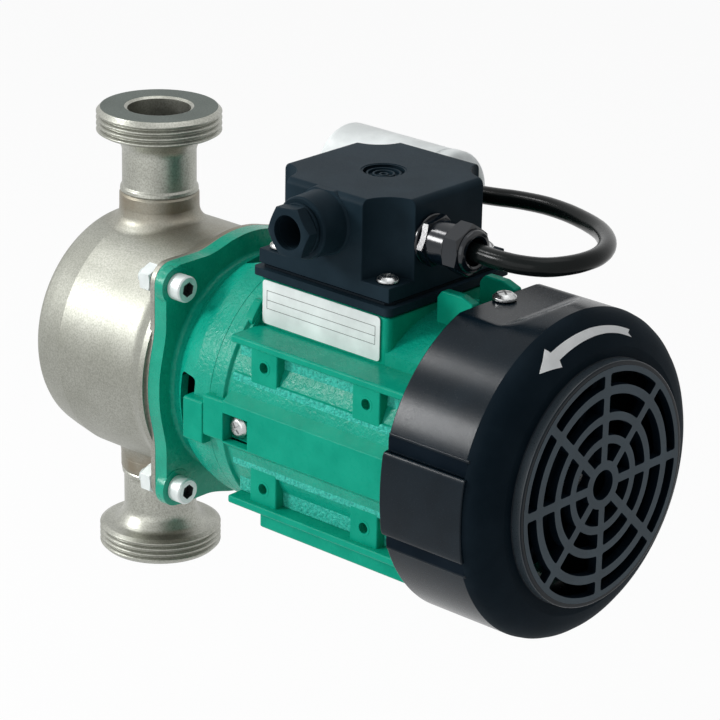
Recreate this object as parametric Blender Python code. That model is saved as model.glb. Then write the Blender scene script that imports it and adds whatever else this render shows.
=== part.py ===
# In-line centrifugal pump with a glanded, fan-cooled single-phase motor.
# The pump hangs between two threaded pipe ports. The origin is the centre of the lower port's
# sealing face, +Z runs up the pipe axis, +X runs along the motor axis to the fan.
# Lengths below are in millimetres and turn into metres when a mesh is made.
from math import asin, cos, pi, radians, sin, sqrt

import bmesh
import bpy
from mathutils import Vector

MM = 0.001
GAP = 0.3

# Ports: G 1 1/2 thread, 180 mm face to face.
PORT_SPAN = 180.0
PORT_FACE = PORT_SPAN / 2
THREAD_R = 23.9
THREAD_ROOT_R = 22.7
PORT_RIM_TOP = 79.7
PIPE_R = 14.2
BORE_R = 12.1
COLLAR_R = 15.2
COLLAR_TOP = 57.0

# Stainless drum of the pump, turned about the motor axis.
DRUM_R = 47.8
DRUM_WALL = 2.0
DRUM_END_X = -23.0
STEEL_FLANGE = (40.4, 42.8)

# Flange outline: a rounded rectangle with an ear at each corner, and an oval that bulges between them.
EAR_Y = 44.6
EAR_Z = 47.6
EAR_RADIUS = 8.0
OVAL_Y = 48.3
OVAL_Z = 51.6
BOLT_Y = 39.5
BOLT_Z = 40.0
BOLT_R = 2.9
BOLT_HOLE_R = 3.3
BOLT_HEAD_R = 5.0
BOLT_HEAD_LENGTH = 6.0

# Green castings.
LANTERN_X = (43.1, 74.4)
LANTERN_FLANGE_X = 49.0
HOUSING_X = (74.7, 168.7)
BARREL_R = 48.4
BARREL_BORE_R = 43.3
LEDGE_Y = 47.2
LEDGE_Z = 32.5
LEDGE_THICK = 3.0
BAND_Y = 46.0
BAND_Z = (11.7, 18.0)
PANEL_Y = 51.5
PANEL_Z = 8.0
LOWER_PLATE_Y = 48.5
FOOT_Y = 47.8
FOOT_Z = -38.6
FOOT_X = 98.5
BOSS_X = (100.0, 149.0)
BOSS_WIDTH = 13.0
BOSS_HOLE_Z = 23.4
BOSS_HOLE_R = 2.1
EARTH_X = 89.2
EARTH_Z = -2.0

# Terminal box on its pedestal.
BOX_X = 114.1
BOX_HALF = 31.2
RIM_HALF = 33.0
PEDESTAL_X = (83.2, 146.0)
PEDESTAL_Y = 31.3
PEDESTAL_TOP = 50.0
BASE_Z = (51.3, 54.2)
COVER_Z = (55.6, 90.3)
POCKET_FLOOR = 61.0
POCKET_R = 13.0
BOX_SCREW = 25.7
MAINS_GLAND = (114.1, 78.5)
LEAD_GLAND = (-10.0, 74.6)
GLAND_BOSS_Y = 42.9

# Capacitor beside the box and the lead that joins it to the lead gland.
CAP_Y = 50.5
CAP_Z = 66.6
CAP_R = 17.0
CAP_X = (48.5, 99.6)
BRACKET_X = (85.2, 97.2)
LEAD_R = 3.4
LEAD_ROUTE = (
    (153.0, -10.0, 74.6), (160.0, -10.0, 74.6), (168.0, -10.2, 74.6), (177.0, -10.8, 74.7),
    (186.0, -9.6, 74.8), (194.0, -5.4, 74.9), (198.6, 2.6, 75.0), (199.8, 10.8, 75.0),
    (198.6, 18.0, 74.8), (195.4, 25.2, 74.5), (191.0, 31.6, 74.1), (185.6, 37.4, 73.6),
    (178.6, 43.2, 73.0), (169.0, 48.4, 72.5), (157.0, 52.4, 72.2), (145.0, 54.1, 71.9),
    (133.0, 53.6, 71.3), (124.0, 52.0, 70.7), (116.0, 50.9, 70.2), (110.2, 50.6, 70.0),
)

# Fan cover.
COVER_R = 60.0
COVER_WALL = 2.5
COVER_X = (168.9, 203.5)
REAR_FACE_X = 214.3
GRILLE_X = (215.2, 218.4)
GRILLE_R = 44.6
GRILLE_RINGS = ((40.9, 43.6), (32.9, 36.1), (23.4, 26.4), (15.0, 18.0), (5.5, 8.8))
GRILLE_SPOKES = 8
SPOKE_WIDTH = 3.2
COVER_FLAT_Z = 56.0
PAD_Y = 60.6
PAD_Z = 15.4
GROOVE_Z = 20.7
GROOVE_Y = 56.4
COVER_SCREW_X = 171.6

# Rotating parts.
FRONT_BEARING = (72.4, 83.0, 7.8, 17.6)
REAR_BEARING = (158.2, 168.0, 6.3, 15.9)
ROTOR_X = (97.0, 148.0)
ROTOR_R = 26.2
STATOR_X = (96.0, 149.0)
STATOR_BORE_R = 26.8
IMPELLER_R = 38.0
FAN_R = 47.0

SMOOTH_ANGLE = radians(35)
FLAT_ANGLE = radians(0.2)
BIG = 24
MIDDLE = 16
SMALL = 8


def clear_scene():
    for old in list(bpy.data.objects):
        bpy.data.objects.remove(old, do_unlink=True)


def make_material(name, colour, roughness, metallic):
    material = bpy.data.materials.new(name)
    material.use_nodes = True
    shader = material.node_tree.nodes["Principled BSDF"]
    shader.inputs["Base Color"].default_value = (*colour, 1)
    shader.inputs["Roughness"].default_value = roughness
    shader.inputs["Metallic"].default_value = metallic
    material.diffuse_color = (*colour, 1)
    return material


def make_empty(name, z, x=0.0):
    empty = bpy.data.objects.new(name, None)
    empty.location = (x * MM, 0, z * MM)
    bpy.context.collection.objects.link(empty)
    return empty


def make_object(name, bm, material, parent, smooth=True):
    bmesh.ops.recalc_face_normals(bm, faces=bm.faces)
    bmesh.ops.scale(bm, vec=Vector((MM, MM, MM)), verts=bm.verts)
    mesh = bpy.data.meshes.new(name)
    bm.to_mesh(mesh)
    bm.free()
    if smooth:
        mesh.shade_smooth()
        mesh.set_sharp_from_angle(angle=SMOOTH_ANGLE)
    thing = bpy.data.objects.new(name, mesh)
    thing.data.materials.append(material)
    thing.parent = parent
    bpy.context.collection.objects.link(thing)
    return thing


def combine(target, tool, operation):
    tool.hide_render = True
    tool.display_type = "WIRE"
    tool.parent = target.parent
    modifier = target.modifiers.new(operation.lower(), "BOOLEAN")
    modifier.operation = operation
    modifier.object = tool
    modifier.solver = "EXACT"


def turned(profile, steps, axis="X", centre=(0.0, 0.0, 0.0)):
    # Profile points are (along the axis, radius). A profile that starts and ends on the axis is
    # closed by flat discs; any other profile is a closed loop.
    bm = bmesh.new()
    solid = profile[0][1] == 0
    rings = []
    for along, radius in profile[1:-1] if solid else profile:
        loop = []
        for k in range(steps):
            angle = 2 * pi * k / steps
            side, up = radius * cos(angle), radius * sin(angle)
            point = {"X": (along, side, up), "Y": (up, along, side), "Z": (side, up, along)}[axis]
            loop.append(bm.verts.new(Vector(point) + Vector(centre)))
        rings.append(loop)
    pairs = list(zip(rings, rings[1:]))
    if solid:
        bm.faces.new(rings[0])
        bm.faces.new(rings[-1])
    else:
        pairs.append((rings[-1], rings[0]))
    for first, second in pairs:
        for k in range(steps):
            n = (k + 1) % steps
            bm.faces.new((first[k], first[n], second[n], second[k]))
    return bm


def prism(outline, low, high, axis="X"):
    # The outline is in the two axes after the prism's own, in X, Y, Z order.
    bm = bmesh.new()
    place = {
        "X": lambda p, h: (h, p[0], p[1]),
        "Y": lambda p, h: (p[0], h, p[1]),
        "Z": lambda p, h: (p[0], p[1], h),
    }[axis]
    bottom = bm.faces.new([bm.verts.new(place(p, low)) for p in outline])
    raised = bmesh.ops.extrude_face_region(bm, geom=[bottom], use_keep_orig=True)
    moved = [item for item in raised["geom"] if isinstance(item, bmesh.types.BMVert)]
    shift = Vector(place((0, 0), high - low))
    bmesh.ops.translate(bm, vec=shift, verts=moved)
    return bm


def block(x, y, z, bevel=0.0, segments=1):
    bm = bmesh.new()
    bmesh.ops.create_cube(bm, size=1.0)
    size = Vector((x[1] - x[0], y[1] - y[0], z[1] - z[0]))
    bmesh.ops.scale(bm, vec=size, verts=bm.verts)
    middle = Vector((x[0] + x[1], y[0] + y[1], z[0] + z[1])) / 2
    bmesh.ops.translate(bm, vec=middle, verts=bm.verts)
    if bevel:
        bmesh.ops.bevel(
            bm, geom=list(bm.edges), offset=bevel, segments=segments, affect="EDGES", profile=0.5)
    return bm


def rod(radius, low, high, axis, centre, steps=SMALL):
    return turned([(low, 0), (low, radius), (high, radius), (high, 0)], steps, axis, centre)


def hexagon(across_flats, centre=(0.0, 0.0), turn=0.0):
    radius = across_flats / sqrt(3)
    return [
        (centre[0] + radius * cos(turn + k * pi / 3), centre[1] + radius * sin(turn + k * pi / 3))
        for k in range(6)
    ]


def rounded_rectangle(half_a, half_b, radius, steps=3, centre=(0.0, 0.0)):
    points = []
    corners = ((1, 1, 0), (-1, 1, 90), (-1, -1, 180), (1, -1, 270))
    for side_a, side_b, start in corners:
        for k in range(steps + 1):
            angle = radians(start + 90 * k / steps)
            points.append((
                centre[0] + side_a * (half_a - radius) + radius * cos(angle),
                centre[1] + side_b * (half_b - radius) + radius * sin(angle),
            ))
    return points


def merge_flat_faces(thing):
    # The cuts leave flat walls in slivers; this joins them again.
    modifier = thing.modifiers.new("merge_flat_faces", "DECIMATE")
    modifier.decimate_type = "DISSOLVE"
    modifier.angle_limit = FLAT_ANGLE


def cut(target, bm):
    tool = make_object("cutter", bm, target.data.materials[0], target.parent, smooth=False)
    combine(target, tool, "DIFFERENCE")


def join(target, bm):
    tool = make_object("joined", bm, target.data.materials[0], target.parent, smooth=False)
    combine(target, tool, "UNION")


def oval(half_y, half_z, steps=24):
    return [
        (half_y * cos(2 * pi * k / steps), half_z * sin(2 * pi * k / steps)) for k in range(steps)
    ]


def flange_blank(target, low, high):
    join(target, prism(rounded_rectangle(EAR_Y, EAR_Z, EAR_RADIUS), low, high))
    join(target, prism(oval(OVAL_Y, OVAL_Z), low, high))


def bolt_places():
    return [(side, level) for level in (BOLT_Z, -BOLT_Z) for side in (-BOLT_Y, BOLT_Y)]


def pump_casing(material, parent):
    # Deep-drawn drum, its flange plate and the two drawn collars that the ports are welded to.
    r = DRUM_R
    w = DRUM_WALL
    outer = [
        (DRUM_END_X, 0), (DRUM_END_X, 35.5), (DRUM_END_X + 1.6, 40.2), (DRUM_END_X + 4.8, 43.8),
        (-13.0, 46.5), (-5.5, r), (34.0, r), (37.6, 48.4), (39.4, 49.3), (41.6, 49.6), (41.6, 0),
    ]
    inner = [
        (DRUM_END_X + w, 0), (DRUM_END_X + w, 35.0), (DRUM_END_X + 4.2, 40.0),
        (-12.2, 44.5), (-5.3, r - w), (34.0, r - w), (37.8, 46.5),
        (STEEL_FLANGE[1] + 2, 46.5), (STEEL_FLANGE[1] + 2, 0),
    ]
    casing = make_object("pump_casing", turned(outer, BIG), material, parent)
    flange_blank(casing, *STEEL_FLANGE)
    for side in (1, -1):
        collar = [(side * 30.0, 0), (side * 30.0, COLLAR_R + 3.6), (side * 45.4, COLLAR_R + 3.6),
                  (side * 47.6, COLLAR_R + 1.5), (side * 49.6, COLLAR_R + 0.4), (side * 52.5, COLLAR_R),
                  (side * COLLAR_TOP, PIPE_R + 0.5), (side * COLLAR_TOP, 0)]
        join(casing, turned(collar, MIDDLE, "Z"))
    cut(casing, turned(inner, BIG))
    for side in (1, -1):
        low, high = sorted((side * 36.0, side * (COLLAR_TOP + 3)))
        cut(casing, rod(BORE_R, low, high, "Z", (0, 0, 0), MIDDLE))
    for y, z in bolt_places():
        cut(casing, rod(BOLT_HOLE_R, STEEL_FLANGE[0] - 4, STEEL_FLANGE[1] + 4, "X", (0, y, z)))
    return casing


def port_neck(name, side, material, parent):
    # One tube from the weld on the collar to the threaded rim, above (1) or below (-1) the drum.
    base = COLLAR_TOP + GAP
    profile = [
        (base, BORE_R), (base, PIPE_R + 0.8), (base + 2.0, PIPE_R), (74.0, PIPE_R),
        (78.6, PIPE_R + 3.4), (PORT_RIM_TOP, THREAD_ROOT_R), (PORT_RIM_TOP + 1.0, THREAD_R),
        (PORT_FACE - 1.4, THREAD_R), (PORT_FACE, THREAD_ROOT_R), (PORT_FACE, BORE_R),
    ]
    return make_object(
        name, turned([(side * z, r) for z, r in profile], BIG, "Z"), material, parent)


def suction_bend(material, parent):
    # Carries the water from the lower port round to the impeller's eye.
    outer, inner, bend = 11.7, 10.4, 15.0
    path = [(0.0, -53.0, 0.0), (0.0, -bend, 0.0)]
    for k in range(1, 5):
        angle = radians(90 * k / 4)
        path.append((bend - bend * cos(angle), -bend + bend * sin(angle), angle))
    bm = bmesh.new()
    steps = 12
    loops = []
    for radius in (outer, inner):
        rings = []
        for x, z, angle in path:
            ring = []
            for k in range(steps):
                turn = 2 * pi * k / steps
                across = radius * cos(turn)
                ring.append(bm.verts.new((x + across * cos(angle), radius * sin(turn), z - across * sin(angle))))
            rings.append(ring)
        loops.append(rings)
    sequence = loops[0] + loops[1][::-1]
    for first, second in zip(sequence, sequence[1:] + sequence[:1]):
        for k in range(steps):
            bm.faces.new((first[k], first[(k + 1) % steps], second[(k + 1) % steps], second[k]))
    return make_object("suction_bend", bm, material, parent)


def vane_star(count, hub_r, tip_r, thickness, sweep, rows=5):
    # The closed outline of all vanes and their hub, in the plane across the shaft.
    points = []
    hub_half = asin(thickness / 2 / hub_r)
    for vane in range(count):
        base = 2 * pi * vane / count
        for side in (-1, 1):
            order = range(rows + 1) if side < 0 else range(rows, -1, -1)
            for k in order:
                part = k / rows
                radius = hub_r + (tip_r - hub_r) * part
                half = asin(thickness / 2 / radius)
                angle = base + sweep * part + side * half
                points.append((radius * cos(angle), radius * sin(angle)))
        following = 2 * pi * (vane + 1) / count - hub_half
        points.append((hub_r * cos((base + hub_half + following) / 2),
                       hub_r * sin((base + hub_half + following) / 2)))
    return points


def impeller(material, parent):
    eye_r = 13.2
    back = [
        (15.5, 0), (15.5, 8.2), (20.0, 9.0), (24.6, 24.0), (25.0, IMPELLER_R),
        (27.0, IMPELLER_R), (27.0, 0),
    ]
    front = [
        (16.2, eye_r - 1.6), (16.2, eye_r), (18.4, 15.6), (20.2, IMPELLER_R),
        (21.7, IMPELLER_R), (20.4, 16.6), (18.0, eye_r - 1.6),
    ]
    wheel = make_object("impeller", turned(back, MIDDLE), material, parent)
    join(wheel, prism(vane_star(5, 16.4, IMPELLER_R - 0.6, 2.0, radians(-62), rows=2), 20.9, 26.0))
    cut(wheel, turned([(18.0, 9.9), (18.0, 16.9), (22.2, 16.9), (20.4, 9.9)], MIDDLE))
    cut(wheel, rod(5.0, 10.0, 30.0, "X", (0, 0, 0), MIDDLE))
    join(wheel, turned(front, MIDDLE))
    return wheel


def shaft(material, parent):
    profile = [
        (10.5, 0), (10.5, 3.0), (15.2, 3.0), (15.2, 4.7), (29.0, 4.7), (29.0, 5.9),
        (64.0, 5.9), (64.0, 7.0), (FRONT_BEARING[0] - 0.4, 7.0), (FRONT_BEARING[0] - 0.4, 7.5),
        (FRONT_BEARING[1] + GAP, 7.5), (FRONT_BEARING[1] + GAP, 9.5), (ROTOR_X[0] - 4, 9.5),
        (ROTOR_X[0] - 4, 8.7), (ROTOR_X[1] + 1, 8.7), (ROTOR_X[1] + 1, 8.0), (REAR_BEARING[0] - GAP, 8.0),
        (REAR_BEARING[0] - GAP, 6.0), (REAR_BEARING[1] + 1, 6.0), (REAR_BEARING[1] + 1, 5.4),
        (177.0, 5.4), (177.0, 4.9), (206.0, 4.9), (206.0, 0),
    ]
    return make_object("shaft", turned(profile, 12), material, parent)


def nut(name, x, across_flats, bore_r, centre, material, parent):
    # A hexagon nut about X, its corners rounded off by a turned blank.
    body = make_object(
        name, prism(hexagon(across_flats, centre, pi / 2), *x), material, parent)
    cut(body, rod(bore_r, x[0] - 1, x[1] + 1, "X", (0, *centre)))
    return body


def turned_piece(name, profile, steps, material, parent, axis="X", centre=(0.0, 0.0, 0.0)):
    return make_object(name, turned(profile, steps, axis, centre), material, parent)


def ring(name, x, inner, outer, steps, material, parent, chamfer=0.0):
    c = chamfer
    profile = [(x[0], inner), (x[0], outer - c), (x[0] + c, outer), (x[1] - c, outer),
               (x[1], outer - c), (x[1], inner)]
    if not c:
        profile = [(x[0], inner), (x[0], outer), (x[1], outer), (x[1], inner)]
    return turned_piece(name, profile, steps, material, parent)


def seal_spring(material, parent):
    # Coil of the mechanical seal, between the impeller hub and the rotating seal ring.
    turns, radius, wire = 2.2, 7.6, 0.6
    low, high = 28.3, 31.0
    curve = bpy.data.curves.new("seal_spring", "CURVE")
    curve.dimensions = "3D"
    curve.bevel_depth = wire * MM
    curve.bevel_resolution = 0
    curve.render_resolution_u = 0
    curve.use_fill_caps = True
    spline = curve.splines.new("POLY")
    count = round(turns * 10)
    spline.points.add(count)
    for k in range(count + 1):
        angle = 2 * pi * turns * k / count
        x = low + (high - low) * k / count
        point = Vector((x, radius * cos(angle), radius * sin(angle))) * MM
        spline.points[k].co = (*point, 1)
    curve.materials.append(material)
    spring = bpy.data.objects.new("seal_spring", curve)
    spring.parent = parent
    bpy.context.collection.objects.link(spring)
    return spring


def lantern(material, parent):
    r = BARREL_R
    profile = [
        (LANTERN_X[0], 16.0), (LANTERN_X[0], 44.0), (LANTERN_FLANGE_X, 44.0),
        (LANTERN_FLANGE_X, 38.0), (51.6, 41.4), (57.5, 45.6), (65.0, 47.8),
        (LANTERN_X[1], r), (LANTERN_X[1], 44.8), (71.5, 44.8), (71.5, 22.5),
        (FRONT_BEARING[1], 22.5), (FRONT_BEARING[1], 17.9), (72.1, 17.9), (72.1, 9.5),
        (67.5, 9.5), (67.5, 43.2), (57.0, 41.6), (47.5, 32.0), (47.5, 16.0),
    ]
    casting = make_object("lantern", turned(profile, BIG), material, parent)
    flange_blank(casting, LANTERN_X[0], LANTERN_FLANGE_X)
    cut(casting, rod(16.0, LANTERN_X[0] - 3, 52.0, "X", (0, 0, 0), BIG))
    cut(casting, block((57.0, 66.5), (-60, 60), (-12.0, 10.5)))
    cut(casting, block((57.0, 66.5), (-12.0, 12.0), (-60, 60)))
    join(casting, block((64.4, LANTERN_X[1]), (-PANEL_Y, -43.6), (-12.0, 4.2)))
    for y, z in bolt_places():
        cut(casting, rod(BOLT_HOLE_R, LANTERN_X[0] - 3, LANTERN_FLANGE_X + 3, "X", (0, y, z)))
    return casting


def side_outline(side):
    # Section of one flank of the motor housing: ledge, band, name-plate flat, band, lower plate.
    inner = 30.0
    under = LEDGE_Z - LEDGE_THICK
    return [(side * y, z) for y, z in (
        (inner, LEDGE_Z), (LEDGE_Y, LEDGE_Z), (LEDGE_Y, under), (38.4, under),
        (41.6, 24.8), (44.9, 18.0), (BAND_Y, BAND_Z[1]), (BAND_Y, BAND_Z[0]), (PANEL_Y, PANEL_Z),
        (PANEL_Y, -PANEL_Z), (BAND_Y, -BAND_Z[0]), (BAND_Y, -BAND_Z[1]), (44.9, -18.0),
        (41.6, -24.8), (38.4, -under), (LOWER_PLATE_Y, -under), (LOWER_PLATE_Y, -LEDGE_Z),
        (inner, -LEDGE_Z),
    )]


def motor_housing(material, parent):
    # Built a little too long at both ends, then faced to length.
    r = BARREL_R
    low, high = HOUSING_X
    past = high + 2
    barrel = [
        (low - 2, 0), (low - 2, r), (79.0, r), (79.6, r + 1.3), (82.2, r + 1.3), (82.8, r),
        (past, r), (past, 0),
    ]
    housing = make_object("motor_housing", turned(barrel, BIG), material, parent)
    for side in (-1, 1):
        join(housing, prism(side_outline(side), 84.5, past))
        flat = [(side * y, z) for y, z in (
            (40, PANEL_Z), (PANEL_Y, PANEL_Z), (PANEL_Y, -PANEL_Z), (40, -PANEL_Z))]
        join(housing, prism(flat, low - 2, 90.0))
        for x in BOSS_X:
            for level in (1, -1):
                z = sorted((level * 16.4, level * 30.0))
                y = sorted((side * 36.0, side * (BAND_Y - 0.1)))
                join(housing, block((x - BOSS_WIDTH / 2, x + BOSS_WIDTH / 2), y, z))
    join(housing, block((FOOT_X, past), (-FOOT_Y, FOOT_Y), (FOOT_Z, -LEDGE_Z + 1)))
    for side in (-1, 1):
        y = sorted((side * (PEDESTAL_Y - 0.1), side * 60.0))
        cut(housing, block((84.5, past + 2), y, (LEDGE_Z, 60.0)))
    join(housing, block(PEDESTAL_X, (-PEDESTAL_Y, PEDESTAL_Y), (26.0, PEDESTAL_TOP)))
    for side in (-1, 1):
        y = sorted((side * 9.5, side * 13.5))
        tab = [(152.0, 45.5), (168.4, 45.5), (168.4, 56.6), (163.0, 58.3), (153.4, 58.3), (152.0, 57.0)]
        join(housing, prism(tab, *y, axis="Y"))
    cut(housing, rod(BARREL_BORE_R, low - 5, high + 5, "X", (0, 0, 0), BIG))
    cut(housing, block((low - 9, low), (-70, 70), (-70, 70)))
    cut(housing, block((high, high + 9), (-70, 70), (-70, 70)))
    cut(housing, block((84.6, 94.8), (-60, -46.4), (-9.5, 5.6)))
    cut(housing, rod(7.0, 30.0, 60.0, "Z", (BOX_X, 0, 0)))
    for x in BOSS_X:
        for z in (BOSS_HOLE_Z, -BOSS_HOLE_Z):
            for side in (-1, 1):
                y = sorted((side * 37.5, side * 50.0))
                cut(housing, rod(BOSS_HOLE_R, *y, "Y", (x, 0, z), 8))
    for x, y in box_screw_places():
        cut(housing, rod(2.3, 42.0, 54.0, "Z", (x, y, 0), 8))
    cut(housing, rod(2.6, -60.0, -40.0, "Y", (EARTH_X, 0, EARTH_Z), 8))
    return housing


def box_screw_places():
    return [(BOX_X + a * BOX_SCREW, b * BOX_SCREW) for a in (-1, 1) for b in (-1, 1)]


def rear_shield(material, parent):
    profile = [
        (158.0, 16.2), (158.0, 20.5), (165.5, 20.5), (165.5, BARREL_BORE_R - 0.5),
        (HOUSING_X[1] + GAP, BARREL_BORE_R - 0.5),
        (HOUSING_X[1] + GAP, 54.0), (175.0, 54.0), (175.0, 49.0), (173.0, 46.0), (173.0, 8.5),
        (168.4, 8.5), (168.4, 16.2),
    ]
    shield = make_object("rear_shield", turned(profile, BIG), material, parent)
    for side in (1, -1):
        flat = sorted((side * 53.0, side * 58.0))
        cut(shield, block((160, 180), (-30, 30), flat))
        hole = sorted((side * 47.0, side * 60.0))
        cut(shield, rod(2.2, *hole, "Z", (COVER_SCREW_X, 0, 0), 12))
    return shield


def grille_plate():
    # A flat plate of rings and spokes, made on a polar grid and thickened.
    radii = sorted({r for pair in GRILLE_RINGS for r in pair})
    solid_rings = set(GRILLE_RINGS)
    bm = bmesh.new()
    grid = []
    for radius in radii:
        row = []
        half = asin(SPOKE_WIDTH / 2 / radius)
        for spoke in range(GRILLE_SPOKES):
            start = 2 * pi * spoke / GRILLE_SPOKES
            end = start + 2 * pi / GRILLE_SPOKES
            for angle in (start + half, end - half):
                row.append(bm.verts.new((GRILLE_X[1], radius * sin(angle), radius * cos(angle))))
        grid.append(row)
    for i in range(len(radii) - 1):
        ring_solid = (radii[i], radii[i + 1]) in solid_rings
        count = len(grid[i])
        for k in range(count):
            is_spoke = k % 2 == 1
            if ring_solid or is_spoke:
                n = (k + 1) % count
                bm.faces.new((grid[i][k], grid[i][n], grid[i + 1][n], grid[i + 1][k]))
    loose = [v for v in bm.verts if not v.link_faces]
    bmesh.ops.delete(bm, geom=loose, context="VERTS")
    bmesh.ops.recalc_face_normals(bm, faces=bm.faces)
    bmesh.ops.solidify(bm, geom=list(bm.faces), thickness=GRILLE_X[1] - GRILLE_X[0])
    return bm


def fan_cover(material, parent):
    r = COVER_R
    w = COVER_WALL
    outer = [
        (COVER_X[0], r), (COVER_X[1], r), (207.8, 58.7), (211.8, 54.8), (REAR_FACE_X, 48.6),
        (REAR_FACE_X, GRILLE_R), (GRILLE_X[1], GRILLE_R), (GRILLE_X[1], 41.6),
    ]
    inner = [
        (GRILLE_X[0] - 2.6, 41.6), (REAR_FACE_X - w, 46.0), (209.4, 53.6), (COVER_X[1] - 1, r - w),
        (COVER_X[0], r - w),
    ]
    cover = make_object("fan_cover", turned(outer + inner, 32), material, parent)
    join(cover, grille_plate())
    for side in (-1, 1):
        pad = [(side * y, z) for y, z in (
            (57.9, PAD_Z), (PAD_Y, PAD_Z), (PAD_Y, -PAD_Z), (57.9, -PAD_Z))]
        join(cover, prism(pad, COVER_X[0], 205.6))
        for level in (1, -1):
            z = sorted((level * PAD_Z, level * GROOVE_Z))
            y = sorted((side * 66.0, side * GROOVE_Y))
            cut(cover, block((COVER_X[0] - 2, 204.6), y, z))
    for side in (1, -1):
        floor = sorted((side * 52.0, side * COVER_FLAT_Z))
        join(cover, prism([(-21.0, floor[0]), (21.0, floor[0]), (21.0, floor[1]), (-21.0, floor[1])],
                          COVER_X[0], 201.0))
        above = sorted((side * COVER_FLAT_Z, side * 66.0))
        cut(cover, block((COVER_X[0] - 2, 201.0), (-30, 30), above))
        below = sorted((side * 40.0, side * 53.4))
        cut(cover, block((COVER_X[0] - 2, 199.0), (-19.0, 19.0), below))
        hole = sorted((side * 45.0, side * 62.0))
        cut(cover, rod(2.3, *hole, "Z", (COVER_SCREW_X, 0, 0), 12))
    return cover


def fan(material, parent):
    hub = [
        (178.5, 0), (178.5, 9.0), (183.0, 9.5), (183.0, FAN_R - 3.0), (184.8, FAN_R - 3.0),
        (186.0, 12.5), (202.0, 10.0), (202.0, 0),
    ]
    wheel = make_object("cooling_fan", turned(hub, MIDDLE), material, parent)
    join(wheel, prism(vane_star(6, 8.0, FAN_R, 2.2, 0.0, rows=1), 184.0, 200.5))
    cut(wheel, rod(5.2, 170.0, 206.0, "X", (0, 0, 0), MIDDLE))
    return wheel


def bearing(end, place, material, cage_material, root, rotor, cage_parent):
    low, high, bore, outside = place
    middle = (bore + outside) / 2
    ring(end + "_bearing_outer", (low, high), middle + 1.6, outside, MIDDLE, material, root)
    ring(end + "_bearing_inner", (low, high), bore, middle - 1.6, MIDDLE, material, rotor)
    make_object(
        end + "_bearing_balls", beaded_ring((low + high) / 2, middle), cage_material, cage_parent)


def beaded_ring(centre, middle, balls=8, ball_r=1.35, cage_r=0.6):
    # The balls and the cage between them, as one ring that swells at each ball.
    bm = bmesh.new()
    steps = 3 * balls
    loops = []
    for k in range(steps):
        angle = 2 * pi * k / steps
        size = ball_r if k % 3 == 0 else cage_r
        loops.append([
            bm.verts.new((centre + a * size, (middle + b * size) * cos(angle), (middle + b * size) * sin(angle)))
            for a, b in ((-1, 0), (0, 1), (1, 0), (0, -1))
        ])
    for first, second in zip(loops, loops[1:] + loops[:1]):
        for k in range(4):
            n = (k + 1) % 4
            bm.faces.new((first[k], first[n], second[n], second[k]))
    return bm


def cap_screw(name, place, material, parent):
    # Socket-head screw through both flanges, its head on the lantern's side.
    y, z = place
    seat = LANTERN_FLANGE_X + GAP
    top = seat + BOLT_HEAD_LENGTH
    profile = [
        (31.6, 0), (31.6, BOLT_R), (seat, BOLT_R), (seat, BOLT_HEAD_R), (top, BOLT_HEAD_R), (top, 0),
    ]
    screw = turned_piece(name, profile, 12, material, parent, centre=(0, y, z))
    cut(screw, prism(hexagon(5.0, (y, z)), top - 3.2, top + 1))
    return screw


def pan_screw(name, axis, centre, seat, tip, head_r, shank_r, material, parent):
    # The head stands out from the seat, away from the tip.
    out = 1 if seat > tip else -1
    head = 0.62 * head_r
    profile = [
        (tip, 0), (tip, shank_r), (seat, shank_r), (seat, head_r), (seat + out * 0.6 * head, head_r),
        (seat + out * head, 0.6 * head_r), (seat + out * head, 0),
    ]
    return turned_piece(name, profile, 12, material, parent, axis, centre)


def terminal_cover(material, parent):
    low, high = COVER_Z
    shell = make_object(
        "terminal_cover",
        prism(rounded_rectangle(BOX_HALF, BOX_HALF, 2.0, 1, (BOX_X, 0)), low, high, "Z"),
        material, parent)
    x, z = MAINS_GLAND
    boss = turned([(-29.0, 0), (-29.0, 11.8), (-GLAND_BOSS_Y + 0.8, 11.3), (-GLAND_BOSS_Y, 10.6),
                   (-GLAND_BOSS_Y, 0)], BIG, "Y", (x, 0, z))
    join(shell, boss)
    inner, chamfer = BOX_HALF - 2.6, 12.4
    hollow = [(inner, chamfer), (chamfer, inner), (-chamfer, inner), (-inner, chamfer),
              (-inner, -chamfer), (-chamfer, -inner), (chamfer, -inner), (inner, -chamfer)]
    cut(shell, prism([(BOX_X + a, b) for a, b in hollow], low - 2, high - 3.0, "Z"))
    for a in (-1, 1):
        for b in (-1, 1):
            corner = (BOX_X + a * BOX_HALF, b * BOX_HALF, 0)
            cut(shell, rod(POCKET_R, POCKET_FLOOR, high + 3, "Z", corner, MIDDLE))
    for sx, sy in box_screw_places():
        cut(shell, rod(2.3, low - 2, POCKET_FLOOR + 2, "Z", (sx, sy, 0), 12))
    cut(shell, rod(7.7, -GLAND_BOSS_Y - 2, -25.0, "Y", (x, 0, z), BIG))
    y, z = LEAD_GLAND
    cut(shell, rod(6.4, 120.0, 150.0, "X", (0, y, z), BIG))
    cut(shell, rod(7.8, high - 1.6, high + 2, "Z", (BOX_X, 0, 0), MIDDLE))
    return shell


def terminal_base(material, parent):
    plate = make_object(
        "terminal_base",
        prism(rounded_rectangle(RIM_HALF, RIM_HALF, 2.5, 1, (BOX_X, 0)), *BASE_Z, "Z"),
        material, parent)
    cut(plate, rod(7.0, 48, 60, "Z", (BOX_X, 0, 0)))
    for x, y in box_screw_places():
        cut(plate, rod(2.3, 48, 60, "Z", (x, y, 0), 12))
    return plate


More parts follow.
